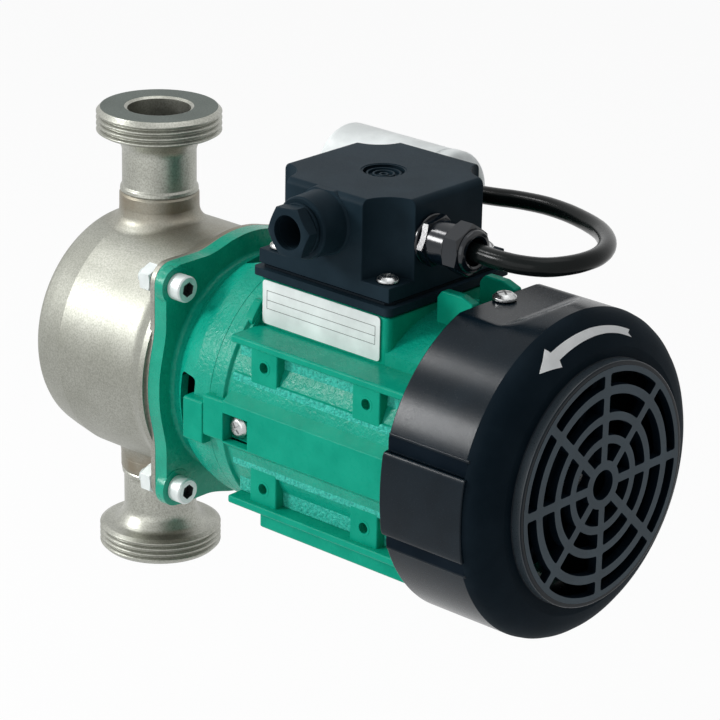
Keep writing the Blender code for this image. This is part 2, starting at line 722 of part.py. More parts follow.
def gasket(name, half, inner, z, material, parent):
    seal = make_object(
        name, prism(rounded_rectangle(half, half, 2.0, 1, (BOX_X, 0)), *z, "Z"), material, parent)
    cut(seal, prism(rounded_rectangle(inner, inner, 2.0, 1, (BOX_X, 0)), z[0] - 1, z[1] + 1, "Z"))
    for x, y in box_screw_places():
        cut(seal, rod(2.3, z[0] - 1, z[1] + 1, "Z", (x, y, 0), 12))
    return seal


def terminal_block(material, parent):
    body = make_object(
        "terminal_block", block((BOX_X - 17, BOX_X + 17), (8.0, 20.0), (54.6, 68.0)),
        material, parent)
    for k in range(4):
        x = BOX_X - 12.6 + 8.4 * k
        cut(body, rod(2.4, 62.0, 70.0, "Z", (x, 14.0, 0)))
        cut(body, block((x - 2.2, x + 2.2), (4.0, 11.0), (56.5, 61.0)))
    return body


def mains_gland(material, parent):
    # Sleeve in the cover's boss and its open clamping nut. No cable is fitted.
    x, z = MAINS_GLAND
    y = -GLAND_BOSS_Y
    sleeve = [
        (-26.5, 6.2), (-26.5, 7.2), (y - GAP, 7.2), (y - GAP, 8.8), (y - 1.4, 8.8), (y - 1.4, 7.2),
        (y - 4.4, 7.2), (y - 4.4, 6.2),
    ]
    turned_piece("mains_gland_body", sleeve, BIG, material, parent, "Y", (x, 0, z))
    nut_body = make_object(
        "mains_gland_nut", prism(hexagon(17.4, (x, z), 0.12), y - 6.8, y - 1.7, "Y"), material, parent)
    cut(nut_body, rod(7.5, y - 4.7, y, "Y", (x, 0, z), BIG))
    cut(nut_body, rod(6.3, y - 14.0, y - 3.0, "Y", (x, 0, z), BIG))
    return nut_body


def lead_gland(material, parent):
    y, z = LEAD_GLAND
    face = BOX_X + BOX_HALF
    body = make_object(
        "lead_gland_body", prism(hexagon(16.4, (y, z), 0.15), face + GAP, face + 4.6), material, parent)
    barrel = [(face - 6, 0), (face - 6, 6.0), (face + 1, 6.0), (face + 1, 7.9), (face + 12.2, 7.9),
              (face + 12.2, 6.9), (face + 15.0, 6.9), (face + 15.0, 0)]
    join(body, turned(barrel, 24, "X", (0, y, z)))
    cut(body, rod(4.2, face - 8, face + 17, "X", (0, y, z), 24))
    nut_body = make_object(
        "lead_gland_nut", prism(hexagon(16.8, (y, z), 0.45), face + 12.5, face + 21.3),
        material, parent)
    cut(nut_body, rod(7.2, face + 10, face + 15.3, "X", (0, y, z), 24))
    cut(nut_body, rod(5.2, face + 14, face + 24, "X", (0, y, z), 24))
    return body


def smooth_route(points, spacing):
    # Catmull-Rom curve through the route's points, read at equal parameter steps.
    ends = [Vector(points[0]) * 2 - Vector(points[1])]
    ends += [Vector(p) for p in points]
    ends.append(Vector(points[-1]) * 2 - Vector(points[-2]))
    path = []
    for a, b, c, d in zip(ends, ends[1:], ends[2:], ends[3:]):
        count = max(1, round((c - b).length / spacing))
        for k in range(count):
            t = k / count
            path.append(0.5 * (2 * b + (c - a) * t + (2 * a - 5 * b + 4 * c - d) * t * t
                               + (3 * b - a - 3 * c + d) * t ** 3))
    path.append(ends[-2])
    return path


def capacitor_lead(material, parent):
    curve = bpy.data.curves.new("capacitor_lead", "CURVE")
    curve.dimensions = "3D"
    curve.bevel_depth = LEAD_R * MM
    curve.bevel_resolution = 2
    curve.render_resolution_u = 0
    curve.use_fill_caps = True
    spline = curve.splines.new("POLY")
    path = smooth_route(LEAD_ROUTE, 9.0)
    spline.points.add(len(path) - 1)
    for point, place in zip(spline.points, path):
        point.co = (*(place * MM), 1)
    curve.materials.append(material)
    lead = bpy.data.objects.new("capacitor_lead", curve)
    lead.parent = parent
    bpy.context.collection.objects.link(lead)
    return lead


def capacitor(material, parent):
    low, high = CAP_X
    can = [
        (low, 0), (low, CAP_R - 2.0), (low + 2.0, CAP_R), (high, CAP_R), (high, 0),
    ]
    turned_piece("capacitor", can, BIG, material, parent, centre=(0, CAP_Y, CAP_Z))
    start = high + GAP
    cap = [
        (start, 0), (start, CAP_R + 0.3), (start + 5.0, CAP_R + 0.3), (start + 7.6, CAP_R - 3.0),
        (start + 7.6, 0),
    ]
    end_cap = turned_piece("capacitor_cap", cap, BIG, material, parent, centre=(0, CAP_Y, CAP_Z))
    x, y, z = LEAD_ROUTE[-1]
    join(end_cap, rod(5.0, start + 5.0, x - 0.6, "X", (0, y, z), 12))


def capacitor_bracket(material, parent):
    # A cradle under the can with a leg that stands on the housing's rear ledge.
    low, high = BRACKET_X
    band = [(low, CAP_R - 2), (low, CAP_R + 1.6), (high, CAP_R + 1.6), (high, CAP_R - 2)]
    strap = make_object(
        "capacitor_bracket", turned(band, BIG, "X", (0, CAP_Y, CAP_Z)), material, parent)
    leg = [(36.0, LEDGE_Z + GAP), (45.9, LEDGE_Z + GAP), (45.9, 50.2), (44.4, 50.2),
           (44.4, LEDGE_Z + 1.8), (36.0, LEDGE_Z + 1.8)]
    join(strap, prism(leg, low, high))
    cut(strap, rod(CAP_R + GAP, low - 2.0, high + 2.0, "X", (0, CAP_Y, CAP_Z), BIG))
    cut(strap, block((low - 2.0, high + 2.0), (25.0, 75.0), (CAP_Z + 5.0, 90.0)))
    return strap


def build_pump_end(steel, plastic, rubber, ceramic, root, rotor):
    pump_casing(steel, root)
    port_neck("upper_port", 1, steel, root)
    port_neck("lower_port", -1, steel, root)
    suction_bend(steel, root)
    cover = [
        (36.4, 12.9), (36.4, 42.7), (39.6, 42.7), (39.6, 45.3), (42.8, 45.3), (42.8, 20.0),
        (42.0, 12.9),
    ]
    turned_piece("casing_cover", cover, BIG, steel, root)
    o_ring = [(38.0 + 1.15 * cos(pi * k / 3), 44.25 + 1.15 * sin(pi * k / 3)) for k in range(6)]
    turned_piece("casing_o_ring", o_ring, BIG, rubber, root)
    seat = [(35.2, 6.6), (35.2, 9.8), (36.6, 12.5), (41.6, 12.5), (41.6, 6.6)]
    turned_piece("seal_seat", seat, MIDDLE, ceramic, root)
    ring("seal_ring", (31.9, 34.9), 6.2, 9.8, MIDDLE, ceramic, rotor, 0.5)
    seal_spring(steel, rotor)
    impeller(plastic, rotor)
    nut("impeller_nut", (10.9, 14.9), 9.0, 3.3, (0.0, 0.0), steel, rotor)
    slinger = [(52.0, 6.2), (52.0, 13.5), (53.4, 14.2), (54.6, 8.6), (57.0, 8.2), (57.0, 6.2)]
    turned_piece("water_slinger", slinger, MIDDLE, rubber, rotor)


def build_motor(green, steel, iron, copper, plastic, brass, root, rotor, cages):
    lantern(green, root)
    motor_housing(green, root)
    rear_shield(green, root)
    shaft(steel, rotor)
    ring("stator_core", STATOR_X, STATOR_BORE_R, BARREL_BORE_R - GAP, BIG, iron, root)
    for name, x in (("front_winding", (86.5, 95.7)), ("rear_winding", (149.3, 157.5))):
        ring(name, x, 29.0, 40.5, MIDDLE, copper, root, 2.0)
    ring("rotor_core", ROTOR_X, 9.0, ROTOR_R, MIDDLE, iron, rotor, 1.0)
    bearing("front", FRONT_BEARING, steel, brass, root, rotor, cages[0])
    bearing("rear", REAR_BEARING, steel, brass, root, rotor, cages[1])
    fan(plastic, rotor)
    fan_cover(plastic, root)


def build_terminal_box(plastic, steel, rubber, white, zinc, cream, black, root):
    terminal_base(plastic, root)
    terminal_cover(plastic, root)
    gasket("cover_gasket", BOX_HALF - 0.4, BOX_HALF - 3.6, (54.5, 55.3), rubber, root)
    gasket("base_gasket", PEDESTAL_Y - 0.8, PEDESTAL_Y - 8.0, (50.3, 51.0), rubber, root)
    terminal_block(cream, root)
    mains_gland(plastic, root)
    lead_gland(plastic, root)
    for (x, y), name in zip(box_screw_places(), ("a", "b", "c", "d")):
        pan_screw("box_screw_" + name, "Z", (x, y, 0), POCKET_FLOOR + GAP, 44.0, 4.0, 2.0, steel, root)
    capacitor(white, root)
    capacitor_bracket(zinc, root)
    capacitor_lead(black, root)


def build_fasteners(zinc, steel, plate, root):
    for place, name in zip(bolt_places(), ("a", "b", "c", "d")):
        cap_screw("flange_screw_" + name, place, zinc, root)
        nut("flange_nut_" + name, (34.8, STEEL_FLANGE[0] - GAP), 10.0, BOLT_HOLE_R, place, zinc, root)
    pan_screw("earth_screw", "Y", (EARTH_X, 0, EARTH_Z), -46.4 - GAP, -44.6, 4.3, 1.9, steel, root)
    for side, name in ((1, "upper"), (-1, "lower")):
        seat = side * (COVER_FLAT_Z + GAP)
        pan_screw("fan_cover_screw_" + name, "Z", (COVER_SCREW_X, 0, 0), seat, side * 48.0,
                  4.4, 1.9, steel, root)
    make_object(
        "rating_plate",
        prism(rounded_rectangle(28.3, 8.3, 1.2, 1, (113.9, 41.7)), -PEDESTAL_Y - 0.8,
              -PEDESTAL_Y - GAP, "Y"),
        plate, root)


def main():
    clear_scene()
    steel = make_material("stainless_steel", (0.56, 0.54, 0.50), 0.36, 1.0)
    green = make_material("green_enamel", (0.0, 0.34, 0.235), 0.34, 0.0)
    black = make_material("black_plastic", (0.030, 0.036, 0.046), 0.38, 0.0)
    glossy = make_material("black_lead", (0.012, 0.012, 0.012), 0.22, 0.0)
    zinc = make_material("zinc", (0.66, 0.68, 0.68), 0.30, 1.0)
    bright = make_material("bright_steel", (0.60, 0.60, 0.60), 0.25, 1.0)
    rubber = make_material("rubber", (0.02, 0.02, 0.02), 0.75, 0.0)
    ceramic = make_material("ceramic", (0.16, 0.16, 0.17), 0.30, 0.0)
    moulded = make_material("impeller_plastic", (0.10, 0.10, 0.11), 0.5, 0.0)
    iron = make_material("laminated_iron", (0.28, 0.28, 0.30), 0.5, 1.0)
    copper = make_material("copper_winding", (0.62, 0.24, 0.10), 0.4, 1.0)
    brass = make_material("cage_brass", (0.70, 0.52, 0.22), 0.3, 1.0)
    white = make_material("white_plastic", (0.80, 0.81, 0.79), 0.4, 0.0)
    cream = make_material("terminal_plastic", (0.62, 0.60, 0.52), 0.5, 0.0)

    root = make_empty("motor_axis", PORT_FACE)
    rotor = make_empty("rotor_axis", PORT_FACE)
    cages = [make_empty("front_cage_axis", PORT_FACE), make_empty("rear_cage_axis", PORT_FACE)]
    build_pump_end(steel, moulded, rubber, ceramic, root, rotor)
    build_motor(green, bright, iron, copper, black, brass, root, rotor, cages)
    build_terminal_box(black, bright, rubber, white, zinc, cream, glossy, root)
    build_fasteners(zinc, bright, white, root)
    for thing in list(bpy.data.objects):
        if any(modifier.type == "BOOLEAN" for modifier in thing.modifiers):
            merge_flat_faces(thing)


main()
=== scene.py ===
# Looks of the in-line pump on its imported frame.
# Lengths are millimetres, measured from the point where the motor's axis crosses the pipe's axis.
from math import asin, cos, hypot, pi, radians, sin, sqrt, tan

import bmesh
import bpy
from mathutils import Matrix, Vector


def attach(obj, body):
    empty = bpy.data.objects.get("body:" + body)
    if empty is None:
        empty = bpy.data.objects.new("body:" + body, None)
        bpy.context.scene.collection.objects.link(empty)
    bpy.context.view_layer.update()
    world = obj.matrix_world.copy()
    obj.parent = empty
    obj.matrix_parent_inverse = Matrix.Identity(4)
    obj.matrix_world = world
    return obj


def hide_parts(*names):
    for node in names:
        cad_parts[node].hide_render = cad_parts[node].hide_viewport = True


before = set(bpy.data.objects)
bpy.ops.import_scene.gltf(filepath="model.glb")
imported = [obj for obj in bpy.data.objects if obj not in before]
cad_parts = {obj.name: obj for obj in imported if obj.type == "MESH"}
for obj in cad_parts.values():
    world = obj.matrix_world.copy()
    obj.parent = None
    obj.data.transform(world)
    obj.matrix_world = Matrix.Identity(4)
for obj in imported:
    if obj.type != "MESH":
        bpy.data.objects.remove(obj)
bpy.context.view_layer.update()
axisHeight = 90.0
metre = 0.001
toFrame = Matrix.Scale(metre, 4) @ Matrix.Translation((0, 0, axisHeight))

# Camera, solved from the ports' size and spacing. Its centre is where the two axes cross, in picture points.
cameraView = {"azimuth": 41.86, "elevation": 20.91, "roll": 1.18, "lens": 159.65, "distance": 1239.0,
              "pixels": 3193.0, "centre": (159.9, 328.7), "middle": 360}


def addCamera(view):
    az, el, roll = (radians(view[key]) for key in ("azimuth", "elevation", "roll"))
    back = Vector((sin(az) * cos(el), -cos(az) * cos(el), sin(el)))
    right = Vector((cos(az), sin(az), 0))
    up = back.cross(right)
    right, up = cos(roll) * right + sin(roll) * up, cos(roll) * up - sin(roll) * right
    across = (view["centre"][0] - view["middle"]) / view["pixels"] * view["distance"]
    down = (view["centre"][1] - view["middle"]) / view["pixels"] * view["distance"]
    place = back * view["distance"] - right * across + up * down
    data = bpy.data.cameras.new("camera")
    data.lens = view["lens"]
    data.sensor_width = 36
    data.clip_start = 0.05
    data.clip_end = 20
    camera = bpy.data.objects.new("camera", data)
    turn = Matrix((right, up, back)).transposed().to_4x4()
    camera.matrix_world = Matrix.Translation(toFrame @ place) @ turn
    bpy.context.scene.collection.objects.link(camera)
    bpy.context.scene.camera = camera


addCamera(cameraView)
bpy.context.scene.view_settings.view_transform = "Standard"
print("camera placed")


# Mesh helpers. A profile's points are (along the axis, radius) and an outline's are (a, b), each with an
# optional corner radius.
def arcCorners(points, steps=5, closed=True):
    path = []
    for k, point in enumerate(points):
        here = Vector(point[:2])
        size = point[2] if len(point) > 2 else 0
        if not size or (not closed and k in (0, len(points) - 1)):
            path.append(here)
            continue
        before = Vector(points[k - 1][:2]) - here
        after = Vector(points[(k + 1) % len(points)][:2]) - here
        half = before.angle(after) / 2
        most = 0.49 * min(before.length, after.length)  # Neighbouring corners never meet.
        reach = min(size / tan(half), most)
        middle = here + (before.normalized() + after.normalized()).normalized() * reach / cos(half)
        start = here + before.normalized() * reach - middle
        end = here + after.normalized() * reach - middle
        turn = start.angle(end)
        for s in range(steps + 1):
            part = s / steps
            path.append(middle + (start * sin(turn * (1 - part)) + end * sin(turn * part)) / sin(turn))
    return path


def facedOut(bm):
    bmesh.ops.recalc_face_normals(bm, faces=bm.faces)
    return bm


def spun(profile, steps=96, axis="X", centre=(0, 0, 0), corners=5):
    solid = profile[0][1] == 0
    path = arcCorners(profile, corners, closed=not solid)
    bm = bmesh.new()
    line = [bm.verts.new((p[0], 0, p[1])) for p in path]
    edges = [bm.edges.new(pair) for pair in zip(line, line[1:])]
    if not solid:
        edges.append(bm.edges.new((line[-1], line[0])))
    bmesh.ops.spin(bm, geom=line + edges, cent=(0, 0, 0), axis=(1, 0, 0), angle=2 * pi, steps=steps,
                   use_merge=True)
    bmesh.ops.remove_doubles(bm, verts=bm.verts, dist=0.0005)
    turn = {"X": Matrix.Identity(4), "Y": Matrix.Rotation(radians(90), 4, "Z"),
            "Z": Matrix.Rotation(radians(-90), 4, "Y")}[axis]
    bmesh.ops.transform(bm, matrix=Matrix.Translation(centre) @ turn, verts=bm.verts)
    return facedOut(bm)


def slab(outline, low, high, axis="X"):
    place = {"X": lambda a, b, h: (h, a, b), "Y": lambda a, b, h: (a, h, b),
             "Z": lambda a, b, h: (a, b, h)}[axis]
    bm = bmesh.new()
    face = bm.faces.new([bm.verts.new(place(p[0], p[1], low)) for p in outline])
    raised = bmesh.ops.extrude_face_region(bm, geom=[face], use_keep_orig=True)
    moved = [v for v in raised["geom"] if isinstance(v, bmesh.types.BMVert)]
    bmesh.ops.translate(bm, vec=place(0, 0, high - low), verts=moved)
    return facedOut(bm)


def span(side, near, far):
    return sorted((side * near, side * far))


def cuboid(x, y, z):
    bm = bmesh.new()
    bmesh.ops.create_cube(bm, size=1.0)
    size = (x[1] - x[0], y[1] - y[0], z[1] - z[0])
    middle = ((x[0] + x[1]) / 2, (y[0] + y[1]) / 2, (z[0] + z[1]) / 2)
    bmesh.ops.scale(bm, vec=size, verts=bm.verts)
    bmesh.ops.translate(bm, vec=middle, verts=bm.verts)
    return bm


def rod(radius, low, high, axis="X", centre=(0, 0, 0), steps=48):
    return spun([(low, 0), (low, radius), (high, radius), (high, 0)], steps, axis, centre)


def softened(bm, width, segments=3, least=28):
    bm.normal_update()
    edges = [e for e in bm.edges if len(e.link_faces) == 2 and e.calc_face_angle(0) > radians(least)]
    bmesh.ops.bevel(bm, geom=edges, offset=width, segments=segments, profile=0.5, affect="EDGES",
                    clamp_overlap=True, material=-1)
    return bm


def painted(bm, index):
    for face in bm.faces:
        face.material_index = index
    return bm


def merged(*shells):
    whole = bmesh.new()
    for shell in shells:
        mesh = bpy.data.meshes.new("shell")
        shell.to_mesh(mesh)
        shell.free()
        whole.from_mesh(mesh)
        bpy.data.meshes.remove(mesh)
    return whole


def carved(bm, *tools, operation="DIFFERENCE"):
    for tool in tools:
        pair = []
        for item in (bm, tool):
            mesh = bpy.data.meshes.new("carving")
            item.to_mesh(mesh)
            item.free()
            thing = bpy.data.objects.new("carving", mesh)
            bpy.context.scene.collection.objects.link(thing)
            pair.append(thing)
        modifier = pair[0].modifiers.new("carve", "BOOLEAN")
        modifier.operation = operation
        modifier.object = pair[1]
        evaluated = pair[0].evaluated_get(bpy.context.evaluated_depsgraph_get())
        mesh = bpy.data.meshes.new_from_object(evaluated)
        bm = bmesh.new()
        bm.from_mesh(mesh)
        old = [mesh] + [thing.data for thing in pair]
        for thing in pair:
            bpy.data.objects.remove(thing)
        for item in old:
            bpy.data.meshes.remove(item)
    return bm


# Makes a named piece, which stands for the CAD solids in nodes and rides on a body.
def finished(name, bm, materials, nodes=(), body="frame", angle=32):
    bmesh.ops.transform(bm, matrix=toFrame, verts=bm.verts)
    mesh = bpy.data.meshes.new(name)
    bm.to_mesh(mesh)
    bm.free()
    mesh.shade_smooth()
    mesh.set_sharp_from_angle(angle=radians(angle))
    thing = bpy.data.objects.new(name, mesh)
    for material in materials if isinstance(materials, (list, tuple)) else [materials]:
        mesh.materials.append(material)
    bpy.context.scene.collection.objects.link(thing)
    weighted = thing.modifiers.new("flat faces stay flat", "WEIGHTED_NORMAL")
    weighted.keep_sharp = True
    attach(thing, body)
    if nodes:
        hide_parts(*nodes)
    return thing


# Material helpers. Textures use Object coordinates, in metres.
def startMaterial(name, colour, roughness, metallic=0.0, **sockets):
    material = bpy.data.materials.new(name)
    material.use_nodes = True
    shader = material.node_tree.nodes["Principled BSDF"]
    shader.inputs["Base Color"].default_value = (*colour, 1)
    shader.inputs["Roughness"].default_value = roughness
    shader.inputs["Metallic"].default_value = metallic
    for key, value in sockets.items():
        shader.inputs[key.replace("_", " ")].default_value = value
    return material, material.node_tree, shader


def addNode(tree, kind, inputs=(), **settings):
    made = tree.nodes.new("ShaderNode" + kind)
    for key, value in settings.items():
        setattr(made, key, value)
    for key, value in dict(inputs).items():
        if isinstance(value, bpy.types.NodeSocket):
            tree.links.new(value, made.inputs[key])
        else:
            made.inputs[key].default_value = value
    return made


def noise(tree, scale, detail=4.0, stretch=(1, 1, 1), roughness=0.55):
    place = addNode(tree, "TexCoord").outputs["Object"]
    turned = addNode(tree, "Mapping", {"Vector": place, "Scale": stretch}).outputs[0]
    return addNode(tree, "TexNoise", {"Vector": turned, "Scale": scale, "Detail": detail,
                                      "Roughness": roughness}).outputs["Fac"]


def mapped(tree, source, fromLow, fromHigh, low, high):
    return addNode(tree, "MapRange", {"Value": source, "From Min": fromLow, "From Max": fromHigh,
                                      "To Min": low, "To Max": high}).outputs[0]


def tinted(tree, share, first, second):
    mix = addNode(tree, "Mix", data_type="RGBA")
    tree.links.new(share, mix.inputs[0])
    for socket, value in ((mix.inputs[6], first), (mix.inputs[7], second)):
        if isinstance(value, bpy.types.NodeSocket):
            tree.links.new(value, socket)
        else:
            socket.default_value = (*value, 1)
    return mix.outputs[2]


def bumped(tree, shader, *layers):
    normal = None
    for source, strength, depth in layers:
        inputs = {"Height": source, "Strength": strength, "Distance": depth}
        if normal:
            inputs["Normal"] = normal
        normal = addNode(tree, "Bump", inputs).outputs[0]
    tree.links.new(normal, shader.inputs["Normal"])


weldHeight = 0.0535


def roughened(tree, shader, source, low, high):
    tree.links.new(mapped(tree, source, 0.3, 0.7, low, high), shader.inputs["Roughness"])


def coloured(tree, shader, source, limits, first, second):
    share = mapped(tree, source, *limits, 0, 1)
    tree.links.new(tinted(tree, share, first, second), shader.inputs["Base Color"])


def makeSteel(name, colour, roughness, tint, grainDepth=0.00004, heat=True):
    material, tree, shader = startMaterial(name, colour, roughness, 1.0)
    fine = noise(tree, 2600, 3)
    cloudy = noise(tree, 45, 5)
    base = tinted(tree, mapped(tree, cloudy, 0.35, 0.7, 0, 1), colour, tint)
    # Blasted grain, seen as fine dark and pale specks.
    specks = mapped(tree, noise(tree, 1500, 2), 0.38, 0.66, 0, 0.5)
    base = tinted(tree, specks, base, tuple(0.55 * c for c in tint))
    if heat:
        # Brown heat colour round the welds of both ports.
        place = addNode(tree, "SeparateXYZ", {0: addNode(tree, "TexCoord").outputs["Object"]})
        height = addNode(tree, "Math", {0: place.outputs[2], 1: -metre * axisHeight},
                         operation="ADD").outputs[0]
        away = addNode(tree, "Math", {0: height}, operation="ABSOLUTE").outputs[0]
        level = addNode(tree, "Math", {0: away, 1: -weldHeight}, operation="ADD").outputs[0]
        level = addNode(tree, "Math", {0: level}, operation="ABSOLUTE").outputs[0]
        near = mapped(tree, level, 0.0015, 0.0105, 1, 0)
        ragged = addNode(tree, "Math", {0: near, 1: mapped(tree, noise(tree, 120, 4), 0.3, 0.7, 0.4, 1.0)},
                         operation="MULTIPLY").outputs[0]
        base = tinted(tree, ragged, base, (0.22, 0.19, 0.14))
    tree.links.new(base, shader.inputs["Base Color"])
    roughened(tree, shader, fine, roughness - 0.05, roughness + 0.09)
    bumped(tree, shader, (fine, 0.6, grainDepth), (noise(tree, 420, 3), 0.16, 0.00012))
    return material


def makeEnamel(name, colour, hammer, depth, specular, scale=330, speckle=1.07):
    # Paint over a rough casting: broad dents, fine pits and a little sparkle.
    material, tree, shader = startMaterial(name, colour, 0.30, 0.0, Specular_IOR_Level=specular)
    paler = tuple(speckle * c + 0.06 * (speckle - 1) for c in colour)
    deep = tuple(0.93 * c for c in colour)
    patches = noise(tree, 110 if speckle < 1.1 else scale, 3)
    coloured(tree, shader, patches, (0.35, 0.7), paler, deep)
    roughened(tree, shader, noise(tree, 500, 3), 0.24, 0.36)
    pits = noise(tree, 3.1 * scale, 2.5)
    bumped(tree, shader, (noise(tree, scale, 2), hammer, depth), (pits, 0.5 * hammer, 0.3 * depth))
    return material


def makePlastic(name, colour, roughness, grain=0.1, scale=2400, **sockets):
    material, tree, shader = startMaterial(name, colour, roughness, 0.0, **sockets)
    lighter = tuple(1.35 * c + 0.002 for c in colour)
    coloured(tree, shader, noise(tree, 60, 5), (0.4, 0.75), colour, lighter)
    fine = noise(tree, scale, 3)
    roughened(tree, shader, fine, roughness - 0.05, roughness + 0.07)
    bumped(tree, shader, (fine, grain, 0.00008), (noise(tree, 130, 2), 0.08, 0.0003))
    return material


def makeMetal(name, colour, roughness, tint, scratches=(1, 1, 1), scale=1500, strength=0.15,
              metallic=1.0):
    material, tree, shader = startMaterial(name, colour, roughness, metallic)
    fine = noise(tree, scale, 4, scratches)
    coloured(tree, shader, noise(tree, 200, 4), (0.35, 0.7), colour, tint)
    roughened(tree, shader, fine, roughness - 0.06, roughness + 0.1)
    bumped(tree, shader, (fine, strength, 0.00005))
    return material


greenColour = (0.0, 0.325, 0.212)
castGreen = (0.001, 0.335, 0.228)
hammerGreen = (0.020, 0.385, 0.300)
steelDrum = makeSteel("stainlessDrum", (0.37, 0.375, 0.335), 0.44, (0.30, 0.305, 0.265))
steelPort = makeSteel("stainlessPort", (0.45, 0.455, 0.41), 0.36, (0.32, 0.325, 0.285), heat=False)
# Painted shade: a darker steel on the ports' sealing faces, for the dark they reflect.
steelFaceShade = makeSteel("stainlessFaceShade", (0.125, 0.15, 0.135), 0.50, (0.09, 0.11, 0.098), heat=False)
enamelSmooth = makeEnamel("enamelSmooth", greenColour, 0.05, 0.0001, 0.06)
enamelCast = makeEnamel("enamelCast", castGreen, 0.70, 0.00048, 0.18, 620)
enamelHammer = makeEnamel("enamelHammer", hammerGreen, 1.0, 0.0010, 0.16, 800, 1.4)
enamelFlange = makeEnamel("enamelFlange", greenColour, 0.45, 0.0004, 0.30, 420)
# Painted shade: a dark green for the inside of the lantern's neck.
enamelInsideShade = makeEnamel("enamelInsideShade", (0.001, 0.035, 0.025), 0.2, 0.0002, 0.1)
plasticBox = makePlastic("boxPlastic", (0.010, 0.021, 0.030), 0.44, Specular_IOR_Level=0.035)
plasticCover = makePlastic("coverPlastic", (0.002, 0.007, 0.012), 0.22, 0.03, Specular_IOR_Level=0.15)
plasticShoulder = makePlastic("shoulderPlastic", (0.003, 0.008, 0.013), 0.60, 0.2, Specular_IOR_Level=0.04)
plasticGrille = makePlastic("grillePlastic", (0.024, 0.042, 0.056), 0.55, 0.2, Specular_IOR_Level=0.35)
# Painted highlight: a lighter, glossier plastic for the side of the grille's raised ring.
plasticRingHighlight = makePlastic("ringHighlightPlastic", (0.030, 0.042, 0.052), 0.30, 0.04, Specular_IOR_Level=0.5)
# Dark plastic for the cooling fan, and painted shade in the fan cover's grooves and grille openings.
plasticDarkAndShade = makePlastic("darkPlasticAndGapShade", (0.002, 0.006, 0.011), 0.6, 0.1, Specular_IOR_Level=0.04)
glossPlastic = makePlastic("glossPlastic", (0.002, 0.005, 0.009), 0.15, 0.05, Specular_IOR_Level=0.45)
cableSheath = makePlastic("cableSheath", (0.003, 0.005, 0.005), 0.20, 0.05, 900, Specular_IOR_Level=0.13)
whiteCase = makePlastic("whiteCase", (0.70, 0.735, 0.73), 0.35, 0.05, 900)
whitePaint = makePlastic("whitePaint", (0.93, 0.94, 0.94), 0.5, 0.05, 1500)
labelFilm = makePlastic("labelFilm", (0.72, 0.76, 0.75), 0.38, 0.04, 1500)
labelInk = makePlastic("labelInk", (0.05, 0.06, 0.06), 0.5, 0.04, 1500)
zincPlate = makeMetal("zincPlate", (0.78, 0.83, 0.82), 0.42, (0.66, 0.71, 0.70), metallic=0.35)
brightSteel = makeMetal("brightSteel", (0.52, 0.53, 0.53), 0.26, (0.46, 0.47, 0.47), strength=0.04)
socketShade = makeMetal("socketShade", (0.05, 0.055, 0.055), 0.5, (0.03, 0.035, 0.035), metallic=0.3)
darkRubber = makePlastic("darkRubber", (0.006, 0.010, 0.014), 0.7, 0.3, 1200, Specular_IOR_Level=0.05)
ceramicFace = makePlastic("ceramicFace", (0.16, 0.16, 0.17), 0.3, 0.05)
impellerPlastic = makePlastic("impellerPlastic", (0.10, 0.10, 0.11), 0.5, 0.1)
ironStack = makeMetal("ironStack", (0.28, 0.28, 0.30), 0.5, (0.20, 0.19, 0.19), (60, 1, 1), 90, 0.5)
copperWire = makeMetal("copperWire", (0.62, 0.24, 0.10), 0.4, (0.45, 0.15, 0.06), (1, 1, 1), 700, 0.5)
cageBrass = makeMetal("cageBrass", (0.70, 0.52, 0.22), 0.3, (0.6, 0.42, 0.17))
creamPlastic = makePlastic("creamPlastic", (0.62, 0.60, 0.52), 0.5, 0.1)
print("materials made")


# Stainless drum with its flange plate and the two drawn collars.
drum = {"plate": (40.4, 42.8), "bore": 12.1}
ears = {"y": 44.6, "z": 47.6, "radius": 8.0, "ovalY": 48.3, "ovalZ": 51.6, "blendWidth": 2.4,
        "blendHeight": 0.6}
bolts = [(side, level) for level in (40.0, -40.0) for side in (-39.5, 39.5)]
drumOuter = [(-23.0, 0), (-23.0, 44.6, 8.6), (-15.0, 46.25, 2), (-6.0, 47.8, 3), (33.5, 47.8, 9),
             (39.0, 49.8, 1.6), (41.6, 49.8), (41.6, 46.6)]


def flangeOutline(grow=0.0, steps=288):
    # A rounded rectangle and an oval, blended where they cross.
    points = []
    for k in range(steps):
        angle = 2 * pi * k / steps
        y, z = abs(cos(angle)), abs(sin(angle))
        low, high = 0.0, 90.0
        for _ in range(26):  # Halving finds where the ray leaves the rounded rectangle.
            reach = (low + high) / 2
            a = reach * y - (ears["y"] - ears["radius"])
            b = reach * z - (ears["z"] - ears["radius"])
            outside = hypot(max(a, 0), max(b, 0)) + min(max(a, b), 0) - ears["radius"]
            low, high = (reach, high) if outside < 0 else (low, reach)
        oval = 1 / sqrt((y / ears["ovalY"]) ** 2 + (z / ears["ovalZ"]) ** 2)
        blend = max(0.0, 1 - abs(low - oval) / ears["blendWidth"]) ** 2 * ears["blendHeight"]
        reach = max(low, oval) + blend + grow
        points.append((reach * cos(angle), reach * sin(angle)))
    return points


def drumRadius(x):
    line = arcCorners(drumOuter, 8, closed=False)
    for a, b in zip(line[1:], line[2:]):
        if a[0] <= x <= b[0] and b[0] > a[0]:
            return a[1] + (b[1] - a[1]) * (x - a[0]) / (b[0] - a[0])
    return line[1][1]


